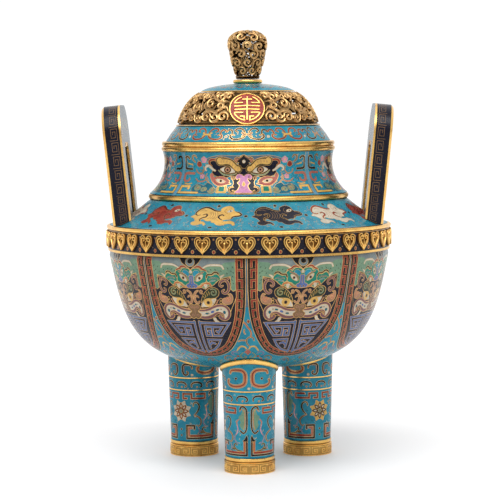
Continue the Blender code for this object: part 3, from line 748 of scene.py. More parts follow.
def bowl_ground(art):
    """Scrolls on the turquoise between and below the panels."""
    edge, seam = art.width / 2, art.seam
    art.line("brown", seam([
        (7.4, 79.5), (6.6, 76.6), (3.4, 75.2), (0.2, 76.6), (-1.2, 80), (-0.4, 84), (2.4, 87),
    ]), 1.1, 0.3, wrap=True)
    art.line("orange", seam([
        (-3.6, 58.6), (-1.4, 61), (0.4, 64), (2.8, 67), (4.2, 71), (3.6, 75),
    ]), 1.2, 0.3, wrap=True)
    art.line("tan", seam([(-10.6, 80.6), (-7, 79.2), (-2.6, 79.4)]), 1.3, 0.3, wrap=True)
    art.line("tan", seam([(-3.2, 66.5), (-3.6, 69.5), (-2.4, 71.5)]), 1.0, 0.3, wrap=True)
    scrolls = [
        ("yellow", [1.0, 1.5, 1.2], [(1.6, 91), (3.4, 88.2), (7.4, 87.2), (10.6, 89.4), (13.2, 93.6)]),
        (
            "lavender", [0.8, 1.6, 1.0],
            [(12, 98), (15.5, 95), (19.5, 96.5), (20, 100), (17.2, 101.4)],
        ),
        (
            "light_green", [0.8, 1.5, 0.9],
            [(6, 97), (9.5, 101), (9, 105.5), (5, 107.5), (2.6, 105), (4.4, 102.6)],
        ),
        (
            "brown", [0.9, 1.6, 1.0],
            [
                (22, 104), (27.5, 102.6), (32, 105.4), (32.4, 110), (28.6, 112.4), (25.4, 110.4),
                (27.2, 107.6),
            ],
        ),
        ("rose", [1.4, 1.8, 0.9], [(16.5, 106.5), (19.5, 110.5), (17.5, 115), (12.5, 117)]),
        (
            "yellow", [0.9, 1.6, 1.0],
            [(8, 112), (4, 116.5), (6, 122), (12, 124.5), (18.5, 121.5), (19, 127)],
        ),
    ]
    for colour, width, points in scrolls:
        art.line(colour, seam(points), width, 0.3, pair=True, wrap=True)
    art.dot("red", edge + 13.4, 103.2, 1.5, pair=True, wrap=True)
    art.line("light_green", seam([
        (-38, 112), (-44, 116), (-44.5, 123), (-38.5, 127.5), (-31.5, 125), (-30.5, 119.5), (-35, 118),
    ]), [0.9, 1.8, 1.0], 0.3)
    art.dot("red", edge + 1.2, 57.8, 1.2, 1.6, wrap=True)
    art.dot("cream", edge, 111.0, 1.2, wrap=True)
    art.area("rose", seam([
        (-4, 96), (-1.4, 93), (0, 91.6), (1.4, 93), (4, 96), (1.6, 98.2), (0, 100.5), (-1.6, 98.2),
    ]), wrap=True)
    for y in (131.0, 140.0, 149.0):
        cloud = [(4, y), (9, y - 3), (15, y - 1), (17, y + 2.5), (12, y + 3.5)]
        art.line("deep_teal", cloud, [0.9, 1.7, 0.8], 0.3, pair=True)
        art.line("deep_teal", seam(cloud), [0.9, 1.7, 0.8], 0.3, pair=True, wrap=True)
    art.line("brown", [(-9, 117), (-4, 110.5), (0, 109), (4, 110.5), (9, 117)], [0.8, 1.6, 0.8], 0.3)
    art.dot("red", 0.0, 114.0, 1.6)


def panel_sky(art, field):
    """The mottled green and grey above the masks, with the cusp that hangs from the belt."""
    right = field[(field[:, 0] > 43.0) & (field[:, 1] < 27.0)]
    art.put("light_green", [*right, (right[0][0], 27.0), (0, 27.0), (0, right[0][1])], True)
    art.area("grey", [
        (0, -7), (44, -7), (44, -1.5), (34, -0.6), (31, 2), (24, 1.2), (19, 2.2), (14, 4.6), (9, 3.4), (4, 6),
        (0, 6),
    ], 0, False, True)
    art.line("cream", [
        (12.4, 5.2), (15.5, 3.4), (19.5, 2.1), (27, 1.9), (31, 2.6), (32.8, 5.4),
    ], [1.0, 1.5, 1.5, 1.3], 0.25, pair=True)
    art.area("black", [
        (-13, -7), (13, -7), (10.5, -3.4), (8.2, 0.2), (5, 2.6), (2.2, 4.4), (0, 6.4), (-2.2, 4.4), (-5, 2.6),
        (-8.2, 0.2), (-10.5, -3.4),
    ], 0.5, False)
    art.dot("grey", 0, -0.6, 4.6, 4.2, count=16)
    art.dot("black", 0, -1.6, 2.6, 2.4, 0.2, count=12)
    art.line("cream", [(29, 14.8), (30.6, 12.8), (33, 11.4)], [1.8, 1.4, 0.6], 0.25, pair=True)
    for x, y in (
        (41.6, 12.5), (40.2, 7.6), (42.2, 19.4), (39.6, 23), (36.2, 9.6), (41.8, 3.6), (25, 6),
        (30.4, 7.4), (20.4, 6.2), (37, 4.6), (17.8, 7.8), (42.4, 9), (41, 16),
    ):
        art.line(
            "olive", [(x - 0.8, y - 0.5), (x, y + 0.2), (x + 0.3, y + 1.0)], [0.3, 0.7, 0.3], 0, pair=True,
        )


def small_mask(art):
    head = [
        (0, 7.4), (2.2, 6), (5.5, 5.2), (8.6, 5.9), (10.6, 8.2), (12.6, 7.2), (15.6, 8.2), (16.8, 10.6),
        (15.6, 13.4), (16.4, 16), (14, 18.6), (10.6, 19.6), (8.4, 21.6), (4.6, 22.6), (0, 22.8),
    ]
    art.area("green", both_sides(head), 0.5)
    wing = [
        (16, 13.6), (17.6, 12.2), (20.4, 12.6), (23, 11.6), (25.6, 10.6), (28.2, 12.4), (29.2, 15.2),
        (26.8, 17.2), (24.6, 18.6), (23, 21.2), (20.8, 21.8), (19, 19.2), (16, 17.6),
    ]
    art.area("green", wing, 0.5, pair=True)
    art.line("deep_teal", [
        (18.4, 15.4), (21.6, 14.4), (25.4, 14.6), (27.2, 15.4),
    ], [0.5, 1.1, 0.5], 0.22, pair=True)
    art.line("turquoise", [(19, 18), (21.4, 17.2), (24.2, 16.8)], [0.5, 1.1, 0.5], 0.22, pair=True)
    art.line("black", [
        (15.6, 14.2), (16.8, 11.4), (19.4, 11.2), (21.8, 10.6), (23.6, 9), (26.4, 9), (28, 10.6),
    ], 1.1, 0.3, pair=True)
    art.line("red", [
        (4.2, 4.9), (6.8, 3.6), (9.6, 3.8), (11.6, 5.6), (13.6, 6.4), (15.6, 7.2),
    ], [0.8, 1.6, 1.5, 0.9], 0.3, pair=True)
    art.area("turquoise", [
        (2, 9.5), (4.8, 7.2), (7.8, 7.6), (8.6, 9.6), (5.6, 11.4), (3.2, 13.6), (2, 12),
    ], 0.22, pair=True)
    art.dot("cream", 0, 8.8, 1.3, 1.6)
    eye = [(12.6, 10.6), (12.3, 13.4), (10.2, 16.4), (6.8, 18.2), (4.3, 18.6), (5.2, 15.2), (8.2, 12.2)]
    art.area("cream", np.array(eye) * 0.78 + (1.9, 3.2), 0.4, pair=True)
    art.dot("brown", 8.6, 14.8, 1.5, pair=True, wire=0)
    art.dot("black", 8.6, 14.8, 0.9, pair=True, wire=0)
    art.line("mauve", [
        (3.9, 17), (5, 13.9), (7.6, 11.4), (10.4, 10), (13, 8.8),
    ], [0.5, 1.0, 0.6], 0.25, pair=True)
    nose = [(0, 12.2), (1.9, 13), (2.2, 17), (2.6, 20), (5.2, 21.2), (6, 23.6), (3.6, 25.2), (0, 25.6)]
    art.area("lavender", both_sides(nose), 0.4)
    art.dot("black", 1.8, 23.2, 0.7, pair=True, wire=0.2)
    art.line("deep_teal", [(0, 14), (0, 20)], [0.4, 0.9, 0.4], 0.2)
    art.line("orange", [
        (5.6, 23.9), (8.6, 23.6), (11, 21.8), (13.4, 20.2), (17.4, 19.8), (19.4, 21.2), (18.8, 22.8),
    ], [0.9, 1.5, 1.2], 0.3, pair=True)
    art.area("cream", [
        (12.8, 20.8), (15.8, 20.9), (15.7, 23.6), (14.9, 25.4), (13.8, 24.6), (13.2, 22.6),
    ], 0.3, pair=True)


def large_mask(art):
    ground = [
        (0, 25.2), (6, 24.8), (10, 24.2), (14, 25.8), (17.5, 23.2), (21, 22.6), (24.6, 19.8), (27.4, 17.2),
        (32.4, 14.6), (38.9, 13.2), (39.3, 20), (39, 25.4), (41.6, 27.6), (44.2, 26.2), (44.2, 33),
        (36, 52), (0, 52),
    ]
    art.area("dark_blue", both_sides(ground), 0.5, False)
    horn = [
        (31.6, 21.8), (30, 22.6), (28.5, 21), (29.6, 18.2), (33, 16.6), (36, 17.9), (37.5, 21.5),
        (37.2, 25.6), (34.8, 28.9), (31.9, 29), (30.9, 27), (32.6, 25.8),
    ]
    art.line("mauve", horn, [1.0, 1.8, 2.0, 2.0, 1.8, 1.0], 0.38, pair=True)
    art.line("mauve", [(34.6, 16.6), (36.8, 15.4), (38.6, 13.8)], [1.8, 1.3, 0.4], 0.3, pair=True)
    brow = [
        (27.2, 27.8), (25.6, 25.2), (21.6, 23.7), (17.6, 24.9), (14.2, 27.6), (11.2, 31), (9.3, 35),
        (8.4, 38.6), (10.6, 36.6), (13.8, 34.8), (18.4, 34.2), (22.8, 34), (26.2, 31.6),
    ]
    art.area("olive", brow, 0.5, pair=True)
    art.line("green", curl(21.4, 28.8, 4.0, 0.9, -130, 1.25), [0.5, 0.8, 0.5], 0.24, pair=True)
    for x, y, lean in ((17.0, 29.4, 2.4), (15.0, 30.6, 2.2), (13.2, 32.2, 2.0), (11.6, 34.0, 1.6)):
        art.line("yellow", [
            (x - 0.6, y - lean), (x + 0.3, y), (x + 0.1, y + lean * 0.8),
        ], [0.3, 0.7, 0.3], 0, pair=True)
    eye = [
        (6.9, 43.8), (8, 40.2), (11.2, 36.6), (15.6, 34.9), (20.4, 34.7), (25.2, 34), (23.4, 38.4),
        (20, 41.8), (15, 43.3), (10.6, 43.4),
    ]
    art.area("cream", np.array(eye) * 0.86 + (2.1, 5.6), 0.5, pair=True)
    art.dot("yellow", 15.6, 38.6, 4.2, 3.7, 0.35, pair=True, count=16)
    art.dot("brown", 15.6, 38.8, 1.9, wire=0, pair=True, count=10)
    art.dot("black", 15.6, 38.8, 1.3, wire=0, pair=True)
    art.line("rose", [(26, 36), (23.4, 40.4), (19.4, 43.8), (13.4, 45.2), (7, 45.4)], 0.6, 0.25, pair=True)
    art.line("tan", [
        (5.8, 27), (3.2, 28.6), (1.7, 31.6), (1.4, 35.4), (2.6, 38.8), (5.4, 39.2), (6.4, 37.8),
    ], [1.2, 2.0, 2.0, 1.2], 0.35, pair=True)
    art.line("tan", [(2, 33.2), (4.4, 32.4), (5.8, 33.8)], [1.5, 1.5, 0.9], 0.3, pair=True)
    art.line("tan", curl(9.3, 28.0, 2.1, 0.6, 60, 1.0, 9), 0.8, 0.25, pair=True)
    nose = [
        (0, 41.8), (3, 40.6), (6, 42.4), (6, 45.4), (3.4, 47.4), (4.4, 49), (6.6, 50.8), (5.2, 53.8),
        (2.4, 55.4), (0, 54.2),
    ]
    moustache = [
        (2, 46.6), (8, 46.3), (14, 45), (19, 42.8), (24, 40.9), (29, 40.4), (34, 42),
        (37.2, 45.6), (37.9, 50), (36.3, 54.2), (32.8, 56.6), (29, 56.3), (26, 54.2), (25.8, 51.6),
        (28, 51.2), (28.4, 53), (30.2, 53.4), (29.6, 50.6), (26, 49.4), (22.8, 50.6), (20.2, 52.9),
        (16, 54.9), (10, 55.4), (5, 54.4), (2, 53),
    ]
    art.area("mauve", moustache, 0.5, pair=True)
    core = [
        (3, 48.3), (10, 48.1), (16, 46.8), (21, 44.6), (26, 43), (31, 43.2), (34.4, 46),
        (35.2, 50), (33.6, 53.4), (31.6, 54.6), (31.4, 51), (28.4, 48.2), (24, 47.8), (19.4, 50),
        (14, 52.2), (8, 52.6), (3, 51.8),
    ]
    art.area("cream", core, 0.35, pair=True)
    for x, y, wide, high, lean, colour in (
        (24.6, 45.9, 2.0, 1.0, -16, "deep_teal"), (19.2, 48.0, 2.1, 1.2, -22, "lavender"),
        (31.6, 48.4, 1.5, 1.8, 0, "deep_teal"), (13.0, 50.0, 2.1, 1.0, -4, "deep_teal"),
        (28.4, 45.4, 0.9, 0.7, 0, "grey"),
    ):
        art.dot(colour, x, y, wide, high, 0.2, pair=True, lean=lean)
    art.area("brown", both_sides(nose), 0.45)
    for x, y, size in ((3.2, 43.9, 1.9), (3.0, 52.2, 1.8)):
        art.line("tan", curl(x, y, size, 0.4, 150, 1.1, 10), 0.6, 0, pair=True)
    art.line("tan", [(0, 43), (0, 53)], 0.5, 0)
    art.area("cream", [
        (19.2, 54.6), (21.8, 54.2), (23, 56.6), (25.2, 58.4), (22, 58.8), (20, 57),
    ], 0.3, pair=True)
    ear = [
        (29.4, 36), (31.4, 34.2), (35, 33.6), (37.8, 32.4), (38.7, 30.7), (36.6, 29.8), (39.4, 28.9),
        (41.4, 31.6), (41.5, 36), (39.6, 39.6), (35.6, 41), (31.4, 40.4), (29, 38.6),
    ]
    art.area("tan", np.array(ear) * 0.86 + (5.0, 4.9), 0.5, pair=True)
    art.line("rose", curl(36.4, 35.6, 2.6, 0.7, 200, 1.1, 10), 0.9, 0.3, pair=True)
    for y in (35.4, 38.2):
        art.dot("black", 28.9, y, 1.1, wire=0.4, pair=True)


def meanders(art):
    """The squared scrolls below the masks."""
    strokes = [
        [(2.9, 58.4), (2.9, 97.4)],
        [(2.9, 59.8), (35.8, 59.8), (25.6, 73.9), (16.5, 73.9), (16.5, 64)],
        [
            (20.6, 68.4), (22.6, 70.2), (27.6, 64), (8.6, 64), (8.6, 73.9), (13.6, 73.9), (13.6, 68.8),
            (11.2, 68.8),
        ],
        [(2.9, 95.6), (7.2, 94.8), (13.4, 92.2), (19.6, 86.4), (24, 79), (8.6, 79), (8.6, 90.2)],
        [(16.6, 84), (12.6, 82.6), (10.6, 84.8), (8.6, 84.8)],
    ]
    for stroke in strokes:
        art.put("wire", ribbon(stroke, 2.2, 0.34), True)
    for stroke in strokes:
        art.put("lavender", ribbon(stroke, 2.2), True)
    for stroke in strokes[:4]:
        art.put("pale_blue", ribbon(stroke, 0.5), True)


BOWL_SIDE = np.array(bezier((139.5, 208.0), (-14, -70), (118, 0), (0.0, BOWL_FOOT), 120))


def add_bowl():
    art = bowl_pattern()
    line = Side([(138.5, 212.5), *BOWL_SIDE], 139.5, -math.hypot(1.0, 4.5))
    drawn, palette = patterned(art, line, BOWL_COPIES, middle=math.radians(22.2))
    inner = line.inside(WALL, (12.0, 40.0, 70.0, 100.0, 130.0, 160.0, 190.0))
    rim = [(138.5, 225), (135.5, 225), (135.9, 208)]
    carry(drawn, line.height(art.top), [*rim, *inner, (0.0, BOWL_FOOT + WALL)], palette)
    underside = [(line.radius(down), line.height(down)) for down in (172.0, 190.0)]
    carry(drawn, line.height(art.bottom), [*underside, (0.0, BOWL_FOOT)], palette, "turquoise")
    link("bowl_cloisonne", drawn, palette, "vessel_bowl")


# The shoulder, with its twelve running beasts

SHOULDER_SECTOR = TURN / 12 * 120
SHOULDER_COLOURS = [
    {"tan": "yellow", "brown": "black", "olive": "brown"},
    {"tan": "dark_blue", "brown": "black", "olive": "brown"},
    {"tan": "cream", "brown": "red", "olive": "tan"},
    {"tan": "red", "brown": "dark_red", "olive": "dark_red"},
]


def shoulder_pattern():
    art = Pattern(SHOULDER_SECTOR, 0.0, 47.1, "turquoise", columns=14, cell=4.4)
    scatter(art, 60, (-30, 30), (2, 44), 3, 1.2, "olive")
    scatter(art, 60, (-30, 30), (2, 44), 4, 1.2)
    body = [
        (21.5, 13), (24, 13.6), (26.4, 15.6), (25.8, 18.4), (23, 19.5), (18.5, 20), (17.2, 22.5),
        (15.5, 24.6), (13.6, 24.6), (10, 25.4), (8.6, 26.6), (9.8, 28), (13, 28), (16, 27), (18, 28),
        (20.6, 30), (21.4, 34), (20, 35), (18.6, 32.6), (16.5, 32), (13.5, 32.2), (11, 34), (7.5, 35),
        (4, 33.5), (2, 30.5), (-0.5, 30), (-2, 28.5), (-2.5, 27), (-5, 27.5), (-8, 27), (-10, 25), (-12, 24),
        (-14, 26), (-12.5, 28.5), (-9, 30), (-7, 33), (-7.5, 35.5), (-9, 33), (-12, 32.5), (-14.5, 34.5),
        (-18, 34.8), (-21, 33), (-21.5, 30), (-19, 28), (-20, 25.5), (-23, 22), (-26.5, 20.5), (-22.5, 17),
        (-22.5, 14), (-20, 10), (-16, 7.5), (-12, 7), (-7, 8.8), (-1.5, 11.5), (3, 12), (5, 11.5), (4.5, 9),
        (6, 6.8), (9.5, 5), (13, 4.5), (16.5, 5.8), (18.2, 8), (19, 11),
    ]
    body = np.array(body) * 0.97 + (0.0, 0.7)
    art.area("tan", body, 0.45)
    art.line("brown", [
        (4, 12), (1, 12), (-2.5, 11.2), (-7, 8.6), (-12, 6.9), (-16, 7.4), (-20, 10), (-22.4, 14),
        (-21.8, 17), (-19, 18.4), (-16.4, 17.6),
    ], [1.0, 1.8, 1.8, 1.5, 0.7], 0.3)
    art.line("brown", [
        (-13.5, 17.5), (-10.5, 16.3), (-8.8, 18.5), (-10, 21), (-13, 22.5), (-14.5, 25), (-13.5, 27.5),
    ], [0.8, 1.6, 1.4, 0.7], 0.3)
    art.line("brown", [
        (9, 19), (7, 17.3), (4.3, 18.5), (3.8, 21), (5.5, 23.5), (8, 25.5),
    ], [0.9, 1.8, 1.4, 0.7], 0.3)
    art.line("brown", [
        (20.5, 13), (24, 14.2), (26.4, 17), (24.6, 19.1), (21, 19.6), (18, 20.6), (17, 23),
    ], [0.6, 1.3, 1.7, 1.5, 1.0], 0.3)
    for rib in range(4):
        x = -6.4 + rib * 2.4
        art.line("olive", [(x, 13.6), (x + 1.5, 17), (x + 1.2, 21), (x - 0.6, 24)], 0.5, 0)
    art.line("olive", [(-18, 11.5), (-14.5, 10.5), (-11, 12.2)], 0.5, 0)
    art.line("olive", [(10.4, 8.2), (8.4, 10.6), (9.2, 13.6), (12.4, 15.6)], 0.5, 0)
    art.area(
        "cream", [(11.2, 12.8), (13.4, 10.6), (16.4, 10.4), (17.2, 11.4), (15.6, 13.2), (12.8, 13.8)], 0.35,
    )
    art.dot("black", 14.8, 11.8, 0.9, wire=0)
    for x, y, size in (
        (0.5, 4.8, 1.8), (-0.5, 38.4, 1.8), (30.9, 19.5, 1.8), (-6.5, 3.6, 0.6), (-4.0, 4.6, 0.6),
        (27.4, 7.0, 0.6), (26.0, 28.5, 0.6), (-24.0, 37.0, 0.6), (-20.5, 38.0, 0.6),
    ):
        art.dot("black", x, y, size, size * 0.82, 0.3 if size > 1 else 0.15, wrap=True)
    return art


def scatter(art, count, across, down, seed, size, colour="wire"):
    """Small loose curls of wire that hold the enamel of the open ground."""
    random = np.random.default_rng(seed)
    for _ in range(count):
        x, y = random.uniform(*across), random.uniform(*down)
        lean = random.uniform(0, 360)
        line = curl(x, y, size, size * 0.45, lean, random.uniform(0.35, 0.7), 6)
        art.put(colour, ribbon(line, 0.32))


# The top of the shoulder and its foot, which the handles stand on
SHOULDER_LINE = [(98.5, SHOULDER_TOP), (114.75, 249.95), (133, 239.4), (138.5, SHOULDER_FOOT)]


def add_shoulder():
    art = shoulder_pattern()
    line = Side(smoothed(SHOULDER_LINE, steps=12), 120)
    art.bottom = line.length()
    drawn, palette = patterned(art, line, 12, SHOULDER_COLOURS, math.radians(-15.4))
    foot = [(138.5, 225.7), (135.5, 225.7), (135.5, 235.8)]
    inner = [
        (131.6, 236.3), (113.2, 247.3), (93.3, 261), (93.3, 265.6), (96.3, 265.6), (96.3, SHOULDER_TOP),
        (98.5, SHOULDER_TOP),
    ]
    carry(drawn, SHOULDER_FOOT, [*foot, *inner], palette)
    link("shoulder_cloisonne", drawn, palette, "vessel_shoulder")


# The neck, with its four masks


def neck_pattern():
    art = Pattern(TURN / 4 * 85, 0.0, 46.2, "turquoise", columns=42, cell=3.6)
    for way in (-1, 1):
        across = sorted((way * 14, way * 64))
        scatter(art, 90, across, (3, 44), 5 + way, 1.3, "olive")
        scatter(art, 60, across, (3, 44), 15 + way, 1.3, "green")
        scatter(art, 70, across, (3, 44), 25 + way, 1.3)
    sky = [
        (0, 3.6), (12, 3.4), (24, 3), (32, 4.4), (38, 6.4), (36.5, 9.5), (33, 9.2), (24, 8.2), (10, 9.8),
        (0, 9.8),
    ]
    art.area("pale_blue", both_sides(sky), 0.3, False)
    cloud = [
        (27, 36), (30, 32), (35, 30), (38, 33), (44, 31.5), (49, 34), (50, 38), (46, 41.5), (38, 42.5),
        (29, 42.5), (25.5, 40),
    ]
    art.area("deep_teal", cloud, 0.3, pair=True)
    face = [
        (0, 11.4), (6, 12), (9.4, 8.6), (16, 5.6), (24, 4.6), (28.4, 6.2), (33, 8.6), (35.4, 11.2),
        (33.2, 15), (30.2, 17), (31.5, 19), (30, 21.7), (24, 23.8), (17, 24.6), (12.6, 23), (10.6, 26),
        (9.4, 30), (10.2, 33.5), (12.6, 37), (11.8, 41), (0, 42.6),
    ]
    art.area("dark_blue", both_sides(face), 0.45)
    art.line("red", [
        (27.2, 8), (30.6, 7), (33.8, 7.6), (35.2, 9.8), (34.3, 12.2), (32.6, 13),
    ], [1.0, 1.9, 1.7, 0.9], 0.35, pair=True)
    art.line("cream", [
        (28.5, 17.8), (31, 16.6), (33.5, 14.4), (36, 13), (38.5, 14), (39.6, 16), (38.2, 17.6),
    ], [1.3, 2.2, 2.2, 1.2], 0.35, pair=True)
    trefoil = [
        (0, 2.8), (2.4, 3.6), (4.2, 5.2), (6.6, 4.8), (8.8, 6.4), (8.8, 9), (6.6, 10.2), (4.8, 9.6),
        (4.8, 12.6), (0, 15.4),
    ]
    art.area("black", both_sides(trefoil), 0.5)
    art.line("mauve", [
        (1.4, 3.8), (3.6, 5.2), (5, 6.4), (7.2, 6), (8.2, 7.6), (7, 9.2),
    ], [0.6, 0.9, 0.6], 0.2, pair=True)
    art.line("rose", curl(7.1, 8.2, 1.5, 0.4, 210, 1.0, 8), 0.6, 0.15, pair=True)
    art.dot("cream", 0.0, 9.0, 1.5, 1.6, 0.2)
    brow = [
        (2.2, 16.4), (3.3, 14.3), (6, 13.8), (9, 10.8), (12, 8.1), (16, 6.8), (20, 6.6), (22.5, 6.8),
        (23.5, 5.4), (25.6, 4.9), (27.6, 6.6), (27.6, 9.6), (25.7, 11.5), (22, 11.7), (18, 11.1),
        (14.6, 11.6), (11.6, 13.7), (9, 16.7), (6, 19), (3.5, 19), (2.2, 18),
    ]
    outline = smoothed(np.array(brow) * 0.9 + (1.4, 1.1), True)
    art.put("wire", outset(outline, 1.5), True)
    art.put("olive", outset(outline, 1.15), True)
    art.put("wire", outset(outline, 0.35), True)
    art.put("yellow", outline, True)
    for x, y, lean in (
        (5.6, 16.2, 1.2), (8.2, 14.6, 1.2), (10.6, 12.2, 1.2), (13.4, 10.2, 1.0), (16.4, 9.0, 0.6),
        (19.4, 9.0, 0.2), (22.2, 9.2, 0.0),
    ):
        art.line("tan", [
            (x - lean * 0.5, y - 1.5), (x + 0.5, y), (x + lean * 0.6, y + 1.4),
        ], [0.2, 0.7, 0.2], 0, pair=True)
    eye = [
        (7.2, 19.2), (9.6, 16), (13.6, 13.5), (18, 13.2), (21.6, 14.4), (24.6, 16.4), (22, 18.4), (18, 20.4),
        (13, 20.6), (9.4, 20),
    ]
    art.area("cream", np.array(eye) * 0.84 + (2.6, 2.8), 0.45, pair=True)
    art.dot("black", 16.0, 16.9, 3.4, 3.1, 0.3, pair=True, count=16)
    art.dot("tan", 16.0, 16.9, 2.3, 2.2, 0.2, pair=True, count=12)
    art.dot("black", 16.0, 16.9, 1.1, 1.1, 0, pair=True)
    art.line("light_green", [
        (25, 17.4), (22.6, 19.6), (19.4, 21.6), (14, 22.2), (9.4, 21.4), (7.2, 20.4),
    ], [0.5, 1.1, 1.1, 0.5], 0.3, pair=True)
    fish = [
        (12.5, 28), (15, 25.4), (18, 23.6), (22, 22.8), (27, 23.4), (30.2, 23.6), (31.3, 20.6), (33, 19.2),
        (34.6, 21.2), (33.4, 25), (30.8, 28.8), (27.6, 31.8), (24, 33.5), (19, 33.4), (15.5, 32.2),
        (11, 31.2), (13.2, 30),
    ]
    art.area("rose", np.array(fish) * 0.9 + (2.2, 2.9), 0.45, pair=True)
    art.area("cream", [
        (17.6, 28.6), (20.6, 26.6), (24.6, 25.8), (27, 26.6), (24.6, 29), (20.6, 30),
    ], 0.35, pair=True)
    art.dot("black", 21.8, 28.0, 1.3, wire=0.2, pair=True)
    art.line("red", [(15.2, 30.8), (19.8, 32), (24.6, 31.4), (28.4, 28.4)], 0.6, 0, pair=True)
    art.line("tan", [(9.2, 26.2), (9.2, 24.4), (10.6, 23.6), (12, 24.8), (11.2, 26.4)], 0.7, 0.2, pair=True)
    nose = [
        (0, 23.6), (1.6, 22), (4, 21.2), (6.5, 22), (7.6, 24.3), (6.4, 26.2), (4, 25.2), (3.5, 26.6),
        (4.3, 28.5), (5.6, 30), (4.5, 31.4), (3.6, 33), (4.2, 35.5), (5.4, 38), (7.6, 41.2), (0, 41.6),
    ]
    art.area("pink", both_sides(nose), 0.45)
    art.area("yellow", [(0, 28.8), (0.9, 30.6), (1.3, 32), (0, 33.6), (-1.3, 32), (-0.9, 30.6)], 0.2)
    art.line("mauve", curl(5.4, 23.8, 1.3, 0.4, 90, 1.0, 8), 0.5, 0, pair=True)
    art.line("brown", [
        (9.6, 34.6), (11.4, 34.2), (13.2, 35.6), (13.4, 38.4), (11.8, 40.6), (9.2, 41.4), (8.2, 39.8),
        (9.6, 38.4),
    ], [0.8, 1.2, 1.2, 0.7], 0.3, pair=True)
    art.line("black", [(-14, 42.8), (0, 43.4), (14, 42.8)], 0.9, 0.3, False)
    art.line("yellow", [(23.6, 34.6), (23.6, 40.8), (16.4, 40.8), (16.4, 33.4)], 1.5, 0.35, False, pair=True)
    art.area("green", [(17.4, 33.8), (22.5, 33.8), (22.5, 39.6), (17.4, 39.6)], 0.3, False, pair=True)
    art.line("light_green", curl(28.8, 38.0, 3.6, 1.0, 20, 1.3, 16), [0.8, 1.3, 0.8], 0.3, pair=True)
    art.line("light_green", curl(37.2, 37.6, 2.8, 0.9, 160, 1.2, 14), [0.8, 1.2, 0.8], 0.3, pair=True)
    art.line("light_green", curl(43.4, 35.4, 3.4, 1.0, -60, 1.3, 14), [0.8, 1.3, 0.8], 0.3, pair=True)
    for x, y in ((28.6, 38.0), (43.2, 35.4)):
        art.dot("tan", x, y, 0.9, wire=0.2, pair=True)
    blossom(art, 41.0, 7.4, 3.0)
    blossom(art, 42.0, 23.4, 2.4)
    art.area("red", [(45.2, 9.2), (48.4, 9.8), (49, 12.4), (46.6, 14), (43.8, 12.8)], 0.4, pair=True)
    art.line("tan", [
        (41.6, 13.6), (40.6, 17.4), (43.6, 20.6), (48, 19.6), (49.6, 16.4),
    ], [0.6, 1.1, 0.6], 0.25, pair=True)
    art.line("rose", [(36, 24), (39, 28), (44.6, 28.6), (48.6, 25.6)], [0.6, 1.1, 0.6], 0.25, pair=True)
    art.line("tan", [(37, 20.6), (38.2, 24), (36.4, 27.2), (33.2, 30)], [0.6, 1.0, 0.6], 0.25, pair=True)
    art.line("black", [
        (58.6, 6.3), (60.3, 4.6), (63.4, 5), (64, 9), (63.7, 14), (61.8, 16), (54.6, 16.4),
    ], 1.5, 0.35, pair=True)
    art.line("rose", [
        (51.5, 20.6), (61, 20.4), (63.2, 22.2), (63.2, 26), (61, 28.4), (57, 27.8), (56.6, 25.6),
    ], [1.6, 2.2, 1.6], 0.35, pair=True)
    art.line(
        "yellow", [(53.8, 36.8), (53.8, 34), (63, 34), (63, 41.6), (42, 41.6)], 2.1, 0.35, False, pair=True,
    )
    art.line("black", [(64.4, 33.2), (64.4, 43.2), (43, 43.2)], 0.9, 0, False, pair=True)
    art.line("yellow", [(55, 12), (60.5, 11)], 0.9, 0.25, pair=True)
    art.line(
        "brown", [(49.5, 5.2), (51, 3.2), (54, 3.8), (54.6, 7), (51.4, 9.6)], [0.8, 1.3, 0.8], 0.3, pair=True,
    )
    art.line("yellow", [(52.4, 30.6), (56, 31.6), (60.6, 30.8)], 0.9, 0.25, pair=True)
    art.area("sky_blue", art.seam([(-2, -1), (2, -1), (2, 48), (-2, 48)]), 0.35, False, pair=True)
    return art


def blossom(art, x, y, size):
    for turn in range(5):
        lean = math.radians(turn * 72 - 90)
        at = (x + size * 0.55 * math.cos(lean), y + size * 0.55 * math.sin(lean))
        art.dot("pink", *at, size * 0.5, wire=0.3, pair=True, count=7)
    art.dot("yellow", x, y, size * 0.28, wire=0.15, pair=True, count=6)


def add_neck():
    art = neck_pattern()
    line = Side(bezier((85.2, NECK_TOP), (-4.2, -14.7), (-12.9, 10.4), (98.5, NECK_FOOT), 30), 85)
    art.bottom = line.length()
    drawn, palette = patterned(art, line, 4, middle=math.radians(-2.2))
    foot = [(96.3, NECK_FOOT), (96.3, 265.9), (93.3, 265.9), (93.3, NECK_FOOT)]
    inner = line.inside(WALL, (42.0, 34.0, 26.0, 17.0, 8.0))
    carry(drawn, NECK_FOOT, [*foot, *inner, (85.2 - WALL, NECK_TOP), (85.2, NECK_TOP)], palette)
    link("neck_cloisonne", drawn, palette, "vessel_neck")


# The enamelled parts of the lid


